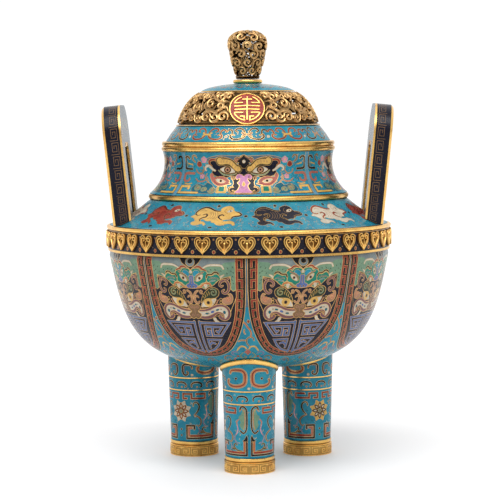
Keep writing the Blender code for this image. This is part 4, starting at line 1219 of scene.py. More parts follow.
def skirt_pattern():
    art = Pattern(TURN / 6 * 77, 0.0, 17.9, "turquoise", columns=28, cell=3.4)
    edge = art.width / 2
    scatter(art, 46, (-38, 38), (2, 16), 8, 1.1)
    for shift, knot, hook in ((0.0, "tan", "black"), (edge, "yellow", "red")):
        for way in (-1, 1):

            def laid(points):
                return np.array(points) * (way, 1) + (shift, 0)

            wrap = shift > 0
            art.line(hook, laid([
                (1.8, 8), (3, 5), (5.2, 2.9), (8, 2.3), (10.5, 3.3), (11.1, 5.4), (9, 6.8),
            ]), [0.8, 1.4, 1.4, 0.8], 0.3, wrap=wrap)
            art.line(hook, laid([
                (1.5, 10.6), (4, 13.5), (9, 15.2), (13, 14.9), (15.9, 12.5), (15.4, 10), (12, 10.4),
            ]), [0.8, 1.4, 1.5, 0.9], 0.3, wrap=wrap)
            art.line(hook, laid([
                (14.2, 10), (14.2, 7.5), (15.2, 4.6), (17.6, 4), (19.2, 5.1), (19.3, 6.6),
            ]), [0.8, 1.3, 0.9], 0.3, wrap=wrap)
            art.area(knot, laid([
                (0, 8.8), (2.4, 8.6), (4.4, 6.8), (5.2, 8.2), (3.6, 9.6), (5, 11.4), (4, 12.2), (2.2, 10.4),
                (0, 10.2),
            ]), 0.3, wrap=wrap)
    for x in (-20.1, 20.1):
        art.dot("cream", x, 12.0, 1.2, wire=0.35)
        art.dot("red", x, 6.2, 0.8, wire=0.2)
    return art


def add_skirt():
    art = skirt_pattern()
    line = Side([(71.5, SKIRT_TOP), (77.25, 327.45), (82.0, SKIRT_FOOT)], 77)
    art.bottom = line.length()
    drawn, palette = patterned(art, line, 6)
    inner = [(78.7, SKIRT_FOOT), (74.0, 327.45), (68.2, SKIRT_TOP), (71.5, SKIRT_TOP)]
    carry(drawn, SKIRT_FOOT, inner, palette)
    link("lid_skirt_cloisonne", drawn, palette, "lid_skirt")


def cap_pattern(length):
    art = Pattern(TURN / 8 * 40, 0.0, length, "turquoise", columns=18, cell=3.0)
    edge = art.width / 2
    scatter(art, 26, (-13, 13), (4, length - 2), 9, 1.0)
    art.area("cream", [
        (0, 6), (2.4, 8.4), (3, 11.6), (1.4, 14.6), (0, 16.2), (-1.4, 14.6), (-3, 11.6), (-2.4, 8.4),
    ], 0.45)
    art.area("tan", [(0, 9), (1.3, 11.2), (0.8, 13.4), (0, 14.2), (-0.8, 13.4), (-1.3, 11.2)], 0.25)
    for way in (-1, 1):
        art.line(
            "dark_red", np.array([(3.6, 10), (6.4, 8.6), (8.8, 10.6), (8.4, 14), (5.8, 15.2)]) * (way, 1),
            [0.7, 1.4, 0.8], 0.3,
        )
        art.line(
            "light_green", np.array([(2.6, 17.6), (6, 19.4), (9.6, 18.2), (11.6, 15.4)]) * (way, 1),
            [0.7, 1.5, 0.8], 0.3,
        )
        art.line(
            "dark_blue", np.array([(edge - 5.4, 21.6), (edge - 2.4, 19.6), (edge, 19.0)]) * (way, 1),
            [1.0, 1.9, 1.4], 0.3, wrap=True,
        )
        art.line("red", np.array([(4, 23.4), (7.4, 24.8), (10.4, 23.4)]) * (way, 1), [0.7, 1.5, 0.8], 0.3)
    art.dot("red", 0, 21.6, 1.4, 1.1)
    art.dot("dark_blue", edge, 25.6, 1.5, 1.0, wrap=True)
    art.dot("red", edge, 12.4, 1.2, wrap=True)
    return art


def add_cap():
    line = Side([(15.4, CAP_TOP), (20, 376.2), (29.6, 374.9), (38.5, 373), (43, 371.4), (46.5, CAP_EDGE)], 40)
    drawn, palette = patterned(cap_pattern(line.length()), line, 8)
    palette += ["gilt"]
    carry(drawn, CAP_TOP, [(0.0, CAP_TOP)], palette, "turquoise")
    carry(drawn, CAP_EDGE, [(46.5, 368.8)], palette, "gilt")
    carry(drawn, 368.8, [(42.7, 368.8), (36, 370.5), (20, 373.7), (0, 374.1)], palette)
    link("lid_cap_cloisonne", drawn, palette, "lid_cap")


# The legs


def leg_pattern(petal, heart):
    """Half a turn of a leg: ringed hooks and brackets in the middle, a lotus where it ends."""
    art = Pattern(TURN / 2 * 25, -2.0, 95.5, "turquoise", columns=28, cell=3.4)
    edge = art.width / 2
    scatter(art, 70, (-38, 38), (2, 92), 12, 1.2, "olive")
    scatter(art, 62, (-38, 38), (2, 92), 13, 1.1)
    ring = [
        (19, 13), (17.6, 10.4), (13, 9.4), (7, 9.6), (3.8, 12.4), (3.2, 17), (4.2, 22.4), (9, 25),
        (15.4, 25.3), (20.4, 23.6), (21.6, 20.6), (20.4, 19),
    ]
    art.line("tan", ring, [2.2, 3.4, 3.6, 3.4, 2.4], 0.3, pair=True)
    art.line("red", ring, [0.9, 1.5, 1.5, 1.5, 0.9], 0.25, pair=True)
    art.dot("black", 12.4, 17.6, 1.0, wire=0.3, pair=True)
    art.dot("cream", 0.0, 27.2, 1.0, wire=0.3)
    art.dot("cream", edge - 12.4, 27.2, 1.0, wire=0.3, pair=True)
    for y in (30.4, 43.0):
        art.area("gilt", [
            (-edge, y - 0.5), (edge, y - 0.5), (edge, y + 0.5), (-edge, y + 0.5),
        ], 0, False, wrap=True)
        # A thin dark olive strip under each gilt band is painted shadow of the band.
        art.area("olive", [
            (-edge, y + 0.5), (edge, y + 0.5), (edge, y + 0.8), (-edge, y + 0.8),
        ], 0, False, wrap=True)
    for step in range(5):
        x = -22.3 + step * art.width / 5
        art.line("black", [
            (x - 5.0, 39.4), (x - 5.2, 37), (x - 3, 35), (x + 1.5, 34.8), (x + 4.6, 36.4), (x + 5.0, 38.8),
            (x + 3.4, 39.6),
        ], [0.8, 1.4, 1.4, 0.8], 0.25, wrap=True)
        art.dot("tan", x + 0.4, 39.6, 0.8, wire=0.2, wrap=True)
    art.area("light_green", [
        (3.8, 48), (6.2, 47.4), (7.6, 52), (10.4, 55), (8.4, 60), (9.4, 63), (6.4, 67.4), (4.2, 66),
        (3.2, 56),
    ], 0, pair=True)
    bracket = [
        (9, 47.6), (8, 45.4), (5.6, 44.8), (3, 47), (2.3, 51), (2.2, 60), (2.5, 65.4), (3.8, 69.2),
        (6, 70.6), (8.8, 68.4),
    ]
    art.line("black", bracket, 1.25, 0.25, pair=True)
    art.line("tan", [
        (9.4, 49.6), (7.2, 47.4), (4.6, 49.2), (4, 55), (4.2, 62), (5.4, 67.4),
    ], [0.5, 0.8, 0.5], 0.15, pair=True)
    art.line("pink", [(12.6, 62.4), (11.4, 66.6), (12.6, 70.8), (15, 73.4)], [0.4, 0.9, 0.4], 0.18, pair=True)
    art.line(
        "lavender", [(13.4, 71), (15.6, 75.4), (13.4, 79.6), (10.2, 80.4)], [0.5, 1.0, 0.5], 0.2, pair=True,
    )
    art.line("rose", [(10.4, 57), (12.6, 60), (11.8, 63)], [0.5, 1.0, 0.5], 0.2, pair=True)
    art.line("black", [
        (2.5, 74.6), (2.5, 92.2), (33, 92.2), (33, 79.2), (25, 79.2), (25, 83),
    ], 1.5, 0.25, False, pair=True)
    art.area("black", [
        (1.6, 74.8), (2.6, 72.6), (4.4, 76.2), (6.4, 78.2), (5.4, 79), (3.4, 78.4), (1.8, 79.4),
    ], 0.25, False, pair=True)
    art.line("orange", [(4.8, 79.4), (4.8, 89.6)], 1.7, 0.3, False, pair=True)
    art.line("red", [(4.8, 89.7), (30.6, 89.7)], 1.9, 0.3, False, pair=True)
    art.line("rose", [(30.8, 90), (30.8, 81.6), (27.4, 81.6)], 1.7, 0.3, False, pair=True)
    art.line("olive", [
        (7.4, 88), (11.6, 87.6), (15, 85.6), (16.4, 82.6), (14.6, 81), (12.6, 82.2),
    ], [0.6, 1.2, 0.7], 0.25, pair=True)
    for shift in (0.0, 1.9, 3.8):
        art.line("olive", [(13.6 + shift, 86.8), (16.0 + shift, 84.8)], [1.2, 0.5], 0.2, False, pair=True)
    art.area("black", [(-edge, 94.7), (edge, 94.7), (edge, 95.1), (-edge, 95.1)], 0, False, wrap=True)
    lotus_side(art)
    lotus(art, edge, 64.4, petal, heart)
    for y in (83.0, 89.2):
        art.dot("black", edge, y, 0.9, wire=0.25, wrap=True)
    return art


def lotus_side(art):
    """What stands on either side of the lotus: a black hook, a key fret and two leafy scrolls."""
    hook = [
        (12.4, 20.6), (11.6, 17.8), (8, 16.4), (4.2, 16.8), (3, 19.4), (3.2, 24.2), (4.8, 27),
        (7.4, 27), (8.6, 25), (7.2, 23.6),
    ]
    fret = [
        (16.2, 46.6), (25.4, 46.6), (25.4, 51.2), (11.6, 51.2), (11.6, 46.6), (2.9, 46.6), (2.9, 51.2),
        (6.8, 51.2),
    ]
    leaf = [(13.2, 59), (13.6, 56.4), (16, 55.2), (18.8, 57.4), (19.3, 61), (17.2, 65.4), (14.4, 68.2)]
    stem = [(14.4, 68.4), (18.4, 70.2), (21.2, 73.4), (21, 77.2), (18.8, 79.6), (16.8, 78.6)]
    strokes = [
        ("black", hook, [0.9, 1.6, 1.6, 0.9], 0.25, True),
        ("red", [(8.4, 18), (5.2, 18.4), (4.6, 21), (4.8, 24.4)], [0.3, 0.6, 0.3], 0, True),
        ("red", fret, 1.55, 0.25, False),
        ("olive", leaf, [0.7, 1.3, 1.4, 0.8], 0.25, True),
        ("brown", stem, [0.7, 1.3, 1.2, 0.6], 0.25, True),
        ("lavender", [(18.4, 81.4), (20.4, 84.4), (18.2, 87.4)], [0.4, 0.9, 0.4], 0.2, True),
    ]
    for colour, points, width, wire, soft in strokes:
        art.line(colour, art.seam(points), width, wire, soft, pair=True, wrap=True)


def lotus(art, x, y, petal, heart):
    """Eight pointed petals in two rows round a small green middle."""
    for row, size, colour in ((0.5, 1.0, petal), (0.0, 0.78, heart)):
        for number in range(8):
            lean = TURN * (number + row) / 8
            turn = np.array([[math.cos(lean), math.sin(lean)], [-math.sin(lean), math.cos(lean)]])
            leaf = np.array([
                (1.2, 0), (4.2, -1.9), (7.6, -2.4), (9.6, -1.2), (11.2, 0), (9.6, 1.2), (7.6, 2.4),
                (4.2, 1.9),
            ]) * size
            art.area(colour, leaf @ turn + (x, y), 0.28, wrap=True)
            if row == 0.0:
                core = np.array([(3.6, 0), (5.2, -0.8), (6.8, 0), (5.2, 0.8)])
                art.area("cream", core @ turn + (x, y), 0.12, wrap=True)
    art.dot("light_green", x, y, 1.9, wire=0.3, wrap=True, count=12)
    art.dot("rose", x, y, 0.8, wire=0, wrap=True, count=8)


LEG_CIRCLE = 67.0
LOTUS_COLOURS = {
    "front": ("cream", "dark_red"), "right": ("yellow", "dark_blue"), "left": ("cream", "dark_red"),
}


def bowl_height(radius):
    return np.interp(radius, BOWL_SIDE[::-1, 0], BOWL_SIDE[::-1, 1])


def leg_places():
    """The name of each leg, and the matrix that stands a leg there from the axis."""
    forward = Matrix.Translation((0.0, -LEG_CIRCLE * MM, 0.0))
    for number, place in enumerate(("front", "right", "left")):
        yield place, Matrix.Rotation(TURN / 3 * number, 4, "Z") @ forward


def bowl_above(vert):
    """The height of the bowl's underside over a point of a leg that is still on the axis."""
    return bowl_height(math.hypot(vert.co.x, vert.co.y - LEG_CIRCLE * MM) / MM)


def add_legs():
    line = Side([(26.2, LEG_TOP), (26.2, 94.0), (23.8, LEG_FOOT)], 25, -2.0)
    for place, frame_of in leg_places():
        art = leg_pattern(*LOTUS_COLOURS[place])
        art.bottom = line.length()
        drawn, palette = patterned(art, line, 2)
        carry(drawn, LEG_FOOT, [(20.8, LEG_FOOT), (23.2, 94.0), (23.2, LEG_TOP), (26.2, LEG_TOP)], palette)
        weld_open(drawn, LAST_WELD)
        for vert in drawn.verts:
            vert.co.z = min(vert.co.z, (bowl_above(vert) - 0.375) * MM)
        drawn.transform(frame_of)
        link(f"leg_{place}_cloisonne", drawn, palette, f"leg_{place}")


def half_round(inner, outer, low, high, depth):
    """A ring with a flat inside and a rounded outside, as (radius, height)."""
    middle, half = (low + high) / 2, (high - low) / 2
    turns = np.linspace(-math.pi / 2, math.pi / 2, 9)
    outside = [(outer - depth + depth * math.cos(turn), middle + half * math.sin(turn)) for turn in turns]
    return [(inner, low), *outside, (inner, high)]


def add_rings():
    lid_flange = [(78.2, 319.9), (78.2, 308.2), (80.2, 308.2)]
    for node, profile in (
        ("neck_ring", half_round(96.6, 99.8, 262.8, 268.4, 2.4)),
        ("shoulder_moulding", half_round(138.8, 142.0, 234.0, 238.0, 1.8)),
        ("mouth_rim", half_round(81.2, 86.6, 310.5, 314.9, 1.6)),
        ("lid_rim", [*lid_flange, *half_round(80.2, 86.1, 315.2, 319.9, 1.5)]),
    ):
        link(f"{node}_gilt", lathe(profile), ["gilt"], node)
    collar = [
        (0, 380.9), (12.9, 380.9), (13.9, 380.5), (14.6, 379.6), (14.6, 378.2), (13.9, 377.3),
        (12.9, 376.9), (0, 376.9),
    ]
    link("knob_collar_gilt", lathe(collar, 96), ["gilt"], "knob_collar")
    for place, frame_of in leg_places():
        add_leg_collar(place, frame_of)


def add_leg_collar(place, frame_of):
    """A rounded ring that follows the underside of the bowl."""
    turns = np.linspace(-math.pi / 2, math.pi / 2, 9)
    outside = [(26.9 + 1.75 * math.cos(turn), -2.7 - 2.3 * math.sin(turn)) for turn in turns]
    drawn = lathe([(26.6, -0.4), *outside, (26.6, -5)], 96)
    for vert in drawn.verts:
        vert.co.z += bowl_above(vert) * MM
    drawn.transform(frame_of)
    link(f"leg_collar_{place}_gilt", drawn, ["gilt"], f"leg_collar_{place}")


# Gilt relief: strokes that swell from a sheet


def distances(points, line):
    """How far each point is from a line, and where along it the nearest place is, from 0 to 1."""
    start, end = line[:-1], line[1:]
    run = end - start
    square = np.maximum((run**2).sum(1), 1e-12)
    share = ((points[:, None, :] - start[None]) * run[None]).sum(2) / square
    share = np.clip(share, 0, 1)
    near = start[None] + share[:, :, None] * run[None]
    away = np.sqrt(((points[:, None, :] - near) ** 2).sum(2))
    best = away.argmin(1)
    rows = np.arange(len(points))
    lengths = np.concatenate([[0], np.cumsum(np.sqrt(square))])
    where = (lengths[best] + share[rows, best] * np.sqrt(square)[best]) / lengths[-1]
    return away[rows, best], where


class Relief:
    """Strokes with a level and a swelling, for carving and openwork, in millimetres."""

    def __init__(self, levels=(1.0, 0.72, 0.38)):
        self.levels = levels
        self.strokes = []

    def stroke(self, points, width, level=0.0, high=1.0, pair=False, soft=True, groove=0.45):
        points = smoothed(points, steps=6) if soft else np.asarray(points, float)
        self.strokes.append((points, np.atleast_1d(np.asarray(width, float)), level, high, groove))
        if pair:
            self.strokes.append((points * (-1, 1), *self.strokes[-1][1:]))

    def swirl(self, x, y, size, first, turns, level, high, width, pair=False):
        """A cloud curl: a ribbon that winds in on itself."""
        line = curl(x, y, size, size * 0.22, first, turns)
        self.stroke(line, [width * 0.6, width, width, width * 0.75], level, high, pair)

    def fill(self, across, down, size, seed, gap, level, high, width, pair=False, wrap=0.0):
        """More curls between those that are there, so that little stays open."""
        random = np.random.default_rng(seed)
        centres = [line[-1] for line, *_ in self.strokes]
        for _ in range(3000):
            spot = np.array([random.uniform(*across), random.uniform(*down)])
            if min(np.hypot(*(spot - centre)) for centre in centres) < gap:
                continue
            grown = size * random.uniform(0.85, 1.2)
            first, turns = random.uniform(0, 360), random.choice((-1.2, 1.2))
            lift = level + random.uniform(0.0, 0.35)
            for shift in (-wrap, 0.0, wrap) if wrap else (0.0,):
                self.swirl(spot[0] + shift, spot[1], grown, first, turns, lift, high, width, pair)
                centres.append(spot + (shift, 0.0))

    def height(self, points):
        """The height of the work over each point, and minus one where there is none."""
        result = np.full(len(points), -1.0)
        for line, widths, level, high, groove in self.strokes:
            reach = widths.max() / 2
            low, top = line.min(0) - reach, line.max(0) + reach
            near = np.flatnonzero(((points > low) & (points < top)).all(1))
            if not len(near):
                continue
            away, where = distances(points[near], line)
            half = np.interp(where, np.linspace(0, 1, len(widths)), widths) / 2
            share = away / np.maximum(half, 1e-6)
            rise = np.interp(
                share, (0, 0.38, 0.72, 1.0, 1.001), (1 - groove, 1 - groove * 0.7, 1.0, 0.0, 0.0),
            )
            found = np.where(share <= 1.001, level + high * rise, -1.0)
            result[near] = np.maximum(result[near], found)
        return result

    def sheet(self, border, cell):
        """Points, triangles and their middles inside a border, with the strokes let in."""
        parts = []
        for line, widths, *_ in self.strokes:
            parts += [("closed", ribbon(line, widths * level)) for level in self.levels]
            parts.append(("open", line))
        low, top = np.min(border, axis=0), np.max(border, axis=0)
        across = np.arange(low[0] + cell / 2, top[0], cell)
        down = np.arange(low[1] + cell / 2, top[1], cell)
        parts.append(("loose", [(x, y) for x in across for y in down]))
        return triangulated(border, parts, 0.02)


def raised(drawn, spots, faces, patina_shade_depth, material):
    """Adds the triangles to a bmesh, each point with a value that darkens the gilt: patina and painted shade
    in the hollows.
    """
    layer = drawn.verts.layers.float.new("hollow_patina_and_shade")
    verts = {index: drawn.verts.new(spots[index]) for index in np.unique(faces)}
    for index, vert in verts.items():
        vert[layer] = patina_shade_depth[index]
    made = []
    for corners in faces:
        face = drawn.faces.new([verts[index] for index in corners])
        face.material_index = material
        face.smooth = True
        made.append(face)
    return made, layer


def backed(drawn, faces, thickness, material, layer, ahead=None):
    """Gives a sheet of faces a thickness, away from a given direction or towards the upright axis."""
    pushed = bmesh.ops.extrude_face_region(drawn, geom=faces, use_keep_orig=True)["geom"]
    for item in pushed:
        if isinstance(item, bmesh.types.BMVert):
            out = ahead or Vector((item.co.x, item.co.y, 0)).normalized()
            item.co -= out * thickness * MM
            # The back and sides of the sheet take the full dark hollow colour: painted shade.
            item[layer] = 1.0
        elif isinstance(item, bmesh.types.BMFace):
            item.material_index = material


# The belt of hearts

BELT_COPIES = 42


def heart_outline():
    half = [
        (0, 8.3), (-1.6, 6.8), (-4.4, 4.3), (-6.9, 1.2), (-8.2, -2.4), (-7.9, -5.6), (-6.2, -7.9),
        (-3.6, -8.4), (-1.6, -7.4), (0, -5.4),
    ]
    return smoothed(both_sides(half), True, 5)


def add_belt():
    """Dark blue ground, gilt bead and forty-two gilt hearts with in-curling lobes."""
    art = Pattern(TURN / BELT_COPIES * 140.4, 0.0, 21.3, "dark_blue", columns=4, cell=5.3)
    edge = art.width / 2
    art.area("wire", [(-edge - 2, 0.3), (edge + 2, 0.3), (edge + 2, 0.7), (-edge - 2, 0.7)], 0, False)
    art.dot("red", edge, 15.4, 1.15, 1.4, 0.5, wrap=True)
    art.dot("wire", edge - 2.9, 12.6, 0.35, wire=0, count=6)
    art.dot("wire", edge + 2.9, 12.6, 0.35, wire=0, count=6, wrap=True)
    art.dot("red", edge, 3.6, 0.55, 0.55, 0.3, wrap=True)
    art.line("gilt", [(-edge - 2, 20.0), (edge + 2, 20.0)], 2.5, 0, False)
    line = Side(
        [
            (140.3, BELT_TOP), (140.3, 215.3), (140.9, 214.9), (141.2, 213.9), (140.9, 212.9),
            (140.3, BELT_FOOT),
        ],
        140.4,
    )
    art.bottom = line.length()
    drawn, palette = patterned(art, line, BELT_COPIES)
    carry(drawn, BELT_FOOT, [(138.9, BELT_FOOT), (138.9, BELT_TOP), (140.3, BELT_TOP)], palette)
    absorb(drawn, hearts(palette.index("gilt")))
    link("belt_of_hearts", drawn, palette, "heart_belt")


def hearts(material):
    relief = Relief((1.0, 0.6))
    outline = heart_outline()
    rim = outset(outline, -0.75)
    relief.stroke(np.vstack([rim, rim[:2]]), 1.2, 0.7, 1.5, soft=False, groove=0.1)
    lobe = [
        (-0.6, 5.6), (-2.6, 2.6), (-4.6, 0.2), (-5.6, -3), (-4.4, -5.4), (-2.4, -5.2), (-1.9, -3.4),
        (-3.2, -2.6),
    ]
    relief.stroke(lobe, [1.3, 2.0, 1.6, 1.2], 0.9, 1.5, pair=True, groove=0.1)
    relief.stroke([(0, 7), (0, 3.6), (0, 0.4), (0, -1.6)], [1.2, 2.3, 1.5, 0.7], 1.0, 1.4, groove=0.15)
    flat, faces, _ = relief.sheet(outline, 2.8)
    edge_away, _ = distances(flat, np.vstack([outline, outline[:1]]))
    rise = np.where(edge_away < 0.05, 0.0, np.maximum(relief.height(flat), 0.95))
    side = Side([(140.2, 234.4), (140.2, 214.4)], 140.2, -10.0)
    sheet = bmesh.new()
    # The low parts of each heart darken towards the hollow colour, the ridges stay bright: patina and painted
    # shade.
    made, layer = raised(sheet, side.wrap(flat, rise), faces, np.clip(1.8 - rise * 0.74, 0, 1), material)
    backed(sheet, made, 0.6, material, layer)
    repeated(sheet, BELT_COPIES)
    return sheet


def absorb(drawn, other):
    """Adds another bmesh to this one, its patina-and-shade values too."""
    mesh = bpy.data.meshes.new("part")
    other.to_mesh(mesh)
    other.free()
    drawn.from_mesh(mesh)
    bpy.data.meshes.remove(mesh)


# The handles

HANDLE_HALF = 52.0
HANDLE_BAR = 28.0
HANDLE_TOP = 117.8
HANDLE_TOP_BAR = 37.0
HANDLE_THICK = 18.2
HANDLE_ROOT = 12.0
HANDLE_LEAN = math.radians(5.9)
HANDLE_RADIUS = 122.5


def rounded_path(half, top, corner, count=14):
    """Up one side of a loop, over the top and down the other, as (across, up)."""
    right = arc(corner, 0, 90, count, (half - corner, top - corner))
    up = np.linspace(-HANDLE_ROOT, top - corner, 22)[:-1]
    one_side = np.array([*[(half, y) for y in up], *right])
    return np.vstack([one_side, one_side[::-1] * (-1, 1)])


def handle_strip(length, spirals):
    """The pattern of an edge: x along the handle, y across it. Gilt borders, squared spirals between."""
    half = HANDLE_THICK / 2
    art = Pattern(length, -half, half, "dark_blue", cell=4.0)
    run = np.linspace(-length / 2 - 3, length / 2 + 3, round(length / 3.5))
    art.line("gilt", [(x, 1.1 - half) for x in run], 2.2, 0, False)
    for y in (2.7 - half, half - 0.3):
        art.line("black", [(x, y) for x in run], 0.55, 0, False)
    if spirals:
        pitch = length / spirals
        for step in range(spirals):
            x = -length / 2 + pitch * (step + 0.5)
            way = 1 if x < 0 else -1
            size, tall = pitch * 0.42, 4.35
            line = [
                (-size, tall), (-size, -tall), (size, -tall), (size, tall * 0.62),
                (-size * 0.52, tall * 0.62), (-size * 0.52, -tall * 0.5), (size * 0.5, -tall * 0.5),
                (size * 0.5, tall * 0.16), (0, tall * 0.16),
            ]
            art.line("brown", np.array(line) * (way, 1) + (x, 0), 0.5, 0, False)
    return art


def outset_line(path, distance):
    return path + sides(path, False) * distance


def add_handles():
    outer = rounded_path(HANDLE_HALF, HANDLE_TOP, 30.0)
    inner = rounded_path(HANDLE_HALF - HANDLE_BAR, HANDLE_TOP - HANDLE_TOP_BAR, 10.0, 8)
    chamfer = 2.3
    outer_low = rounded_path(HANDLE_HALF - chamfer, HANDLE_TOP - chamfer, 30.0 - chamfer)
    palette = ["gilt", "dark_blue", "black", "wire", "pale_blue", "sky_blue", "light_green", "tan", "brown"]
    half = HANDLE_THICK / 2
    for side_name, turn in (("left", math.pi), ("right", 0.0)):
        drawn = bmesh.new()
        add_strip(drawn, palette, outer, 25, -half, half - chamfer)
        add_strip(drawn, palette, inner[::-1], 0, -half, half)
        add_broad_face(drawn, palette, outer, inner, -half, 31)
        add_broad_face(drawn, palette, outer_low, inner, half, 32)
        add_chamfer(drawn, palette, outer, outer_low, half - chamfer, half)
        weld_open(drawn, HANDLE_WELD)
        seat_handle(drawn, turn)
        close_feet(drawn, palette.index("gilt"))
        link(f"handle_{side_name}_cloisonne", drawn, palette, f"handle_{side_name}")


def on_path(path, share):
    run = runs(path)
    at = np.clip(share, 0, 1) * run[-1]
    return np.stack([np.interp(at, run, path[:, 0]), np.interp(at, run, path[:, 1])], 1)


def add_strip(drawn, palette, path, spirals, low, high):
    """An edge pattern laid along a path. Its two borders hold exactly the path's own corners."""
    length = runs(path)[-1]
    run = runs(path) - length / 2
    art = handle_strip(length, spirals)
    down = np.linspace(art.top, art.bottom, 5)
    loose = [(x, y) for x in run[1:-1] for y in down[1:-1]]
    flat, faces, colours = art.within(frame_points(run, down), loose)
    spots = on_path(path, flat[:, 0] / length + 0.5)
    across = low + (flat[:, 1] / HANDLE_THICK + 0.5) * (high - low)
    place_faces(drawn, palette, np.stack([spots[:, 0], across, spots[:, 1]], 1) * MM, faces, colours)


def add_broad_face(drawn, palette, outer, inner, across, seed):
    art = Pattern(2 * HANDLE_HALF, -HANDLE_ROOT, HANDLE_TOP, "pale_blue", cell=4.2)
    middle = rounded_path(HANDLE_HALF - HANDLE_BAR / 2, HANDLE_TOP - HANDLE_TOP_BAR / 2, 18.0)
    random = np.random.default_rng(seed)
    art.put("gilt", ribbon(outset_line(outer, 1.0), 2.0))
    art.put("gilt", ribbon(outset_line(inner, -1.0), 2.0))
    for share in np.linspace(0.06, 0.94, 19):
        x, y = on_path(middle, np.array([share]))[0]
        scroll = curl(x, y, 6.5, 1.4, random.uniform(0, 360), 1.2, 18)
        tone = ("sky_blue", "light_green", "tan")[int(random.integers(3))]
        art.put("wire", ribbon(scroll, [0.8, 1.7, 0.9], 0.3))
        art.put(tone, ribbon(scroll, [0.8, 1.7, 0.9]))
    grid_x = np.arange(-HANDLE_HALF + 3, HANDLE_HALF, 5.0)
    loose = [(x, y) for x in grid_x for y in np.arange(-HANDLE_ROOT + 3, HANDLE_TOP, 5.0)]
    flat, faces, colours = art.within(np.vstack([outer, inner[::-1]]), loose)
    spots = np.stack([flat[:, 0], np.full(len(flat), across), flat[:, 1]], 1)
    place_faces(drawn, palette, spots * MM, faces, colours)


def add_chamfer(drawn, palette, outer, outer_low, low, high):
    """The sloping gilt strip between the edge and the outer broad face."""
    first = [drawn.verts.new((x * MM, low * MM, y * MM)) for x, y in outer]
    second = [drawn.verts.new((x * MM, high * MM, y * MM)) for x, y in outer_low]
    for start in range(len(first) - 1):
        face = drawn.faces.new([first[start], first[start + 1], second[start + 1], second[start]])
        face.material_index = palette.index("gilt")
        face.smooth = True


SHOULDER_SEAT = np.array([*SHOULDER_LINE, (150.0, SHOULDER_FOOT)])


def seat_handle(drawn, turn):
    """Stands a handle on the shoulder, with its foot drawn to just above the enamel."""
    stand = Matrix.Translation((HANDLE_RADIUS * MM, 0, SHOULDER_FOOT * MM))
    place = Matrix.Rotation(turn, 4, "Z") @ stand @ Matrix.Rotation(HANDLE_LEAN, 4, "Y")
    quarter = Matrix.Rotation(-math.pi / 2, 4, "Z")
    free = 30.0
    for vert in drawn.verts:
        local = quarter @ vert.co
        height = local.z / MM
        if height < free:
            foot = foot_height(place, local)
            share = (free - height) / (free + HANDLE_ROOT)
            local.z = (free - share * (free - foot)) * MM
        vert.co = place @ local


def foot_height(place, local):
    """How far up its own side a point of the handle meets the shoulder, in millimetres."""
    height = 0.0
    for _ in range(12):
        spot = place @ Vector((local.x, local.y, height * MM))
        surface = np.interp(spot.xy.length / MM, SHOULDER_SEAT[:, 0], SHOULDER_SEAT[:, 1]) + 0.45
        height += surface - spot.z / MM
    return height


def close_feet(drawn, material):
    """Closes each foot with a face that is set a little inside it."""
    rim = [edge for edge in drawn.edges if edge.is_boundary]
    pushed = bmesh.ops.extrude_edge_only(drawn, edges=rim)["geom"]
    verts = [item for item in pushed if isinstance(item, bmesh.types.BMVert)]
    edges = [item for item in pushed if isinstance(item, bmesh.types.BMEdge) and item.is_boundary]
    for way in (-1, 1):
        ends = [vert for vert in verts if vert.co.y * way > 0]
        middle = sum((vert.co for vert in ends), Vector()) / len(ends)
        for vert in ends:
            vert.co = middle + (vert.co - middle) * 0.8 + Vector((0, 0, 1.2 * MM))
    for face in bmesh.ops.edgeloop_fill(drawn, edges=edges)["faces"]:
        face.material_index = material
    for face in {face for vert in verts for face in vert.link_faces}:
        face.material_index = material


# The roundels

DOME_LINE = np.array(bezier((47.0, 368.5), (12.7, -5.2), (-1.5, 10.3), (70.2, 336.3), 40))
ROUNDEL_RADIUS = 17.2
ROUNDEL_HEIGHT = 352.4


def roundel_relief():
    """A raised border round an even figure of bars and hooks."""
    relief = Relief()
    relief.stroke(arc(16.65, 0, 360, 73), 1.1, 0.0, 0.6, soft=False, groove=0.05)
    bars = [
        [(0, -12.6), (0, 12.4)],
        [(-4.4, -9.6), (4.4, -9.6)],
        [(-12, -2.2), (12, -2.2)],
        [(-11.6, 1.6), (11.6, 1.6)],
    ]
    for bar in bars:
        relief.stroke(bar, 1.5, 0.0, 0.8, soft=False, groove=0.1)
    for hook in (
        [(4.4, -5.8), (10.6, -5.8), *arc(13.4, -26, -66, 12)],
        [(4, 5.2), (11.9, 4.6), *arc(13.3, 18, 78, 14)[1:], (2.8, 9), (6.6, 9)],
    ):
        relief.stroke(hook, 1.45, 0.0, 0.8, pair=True, soft=False, groove=0.1)
    return relief


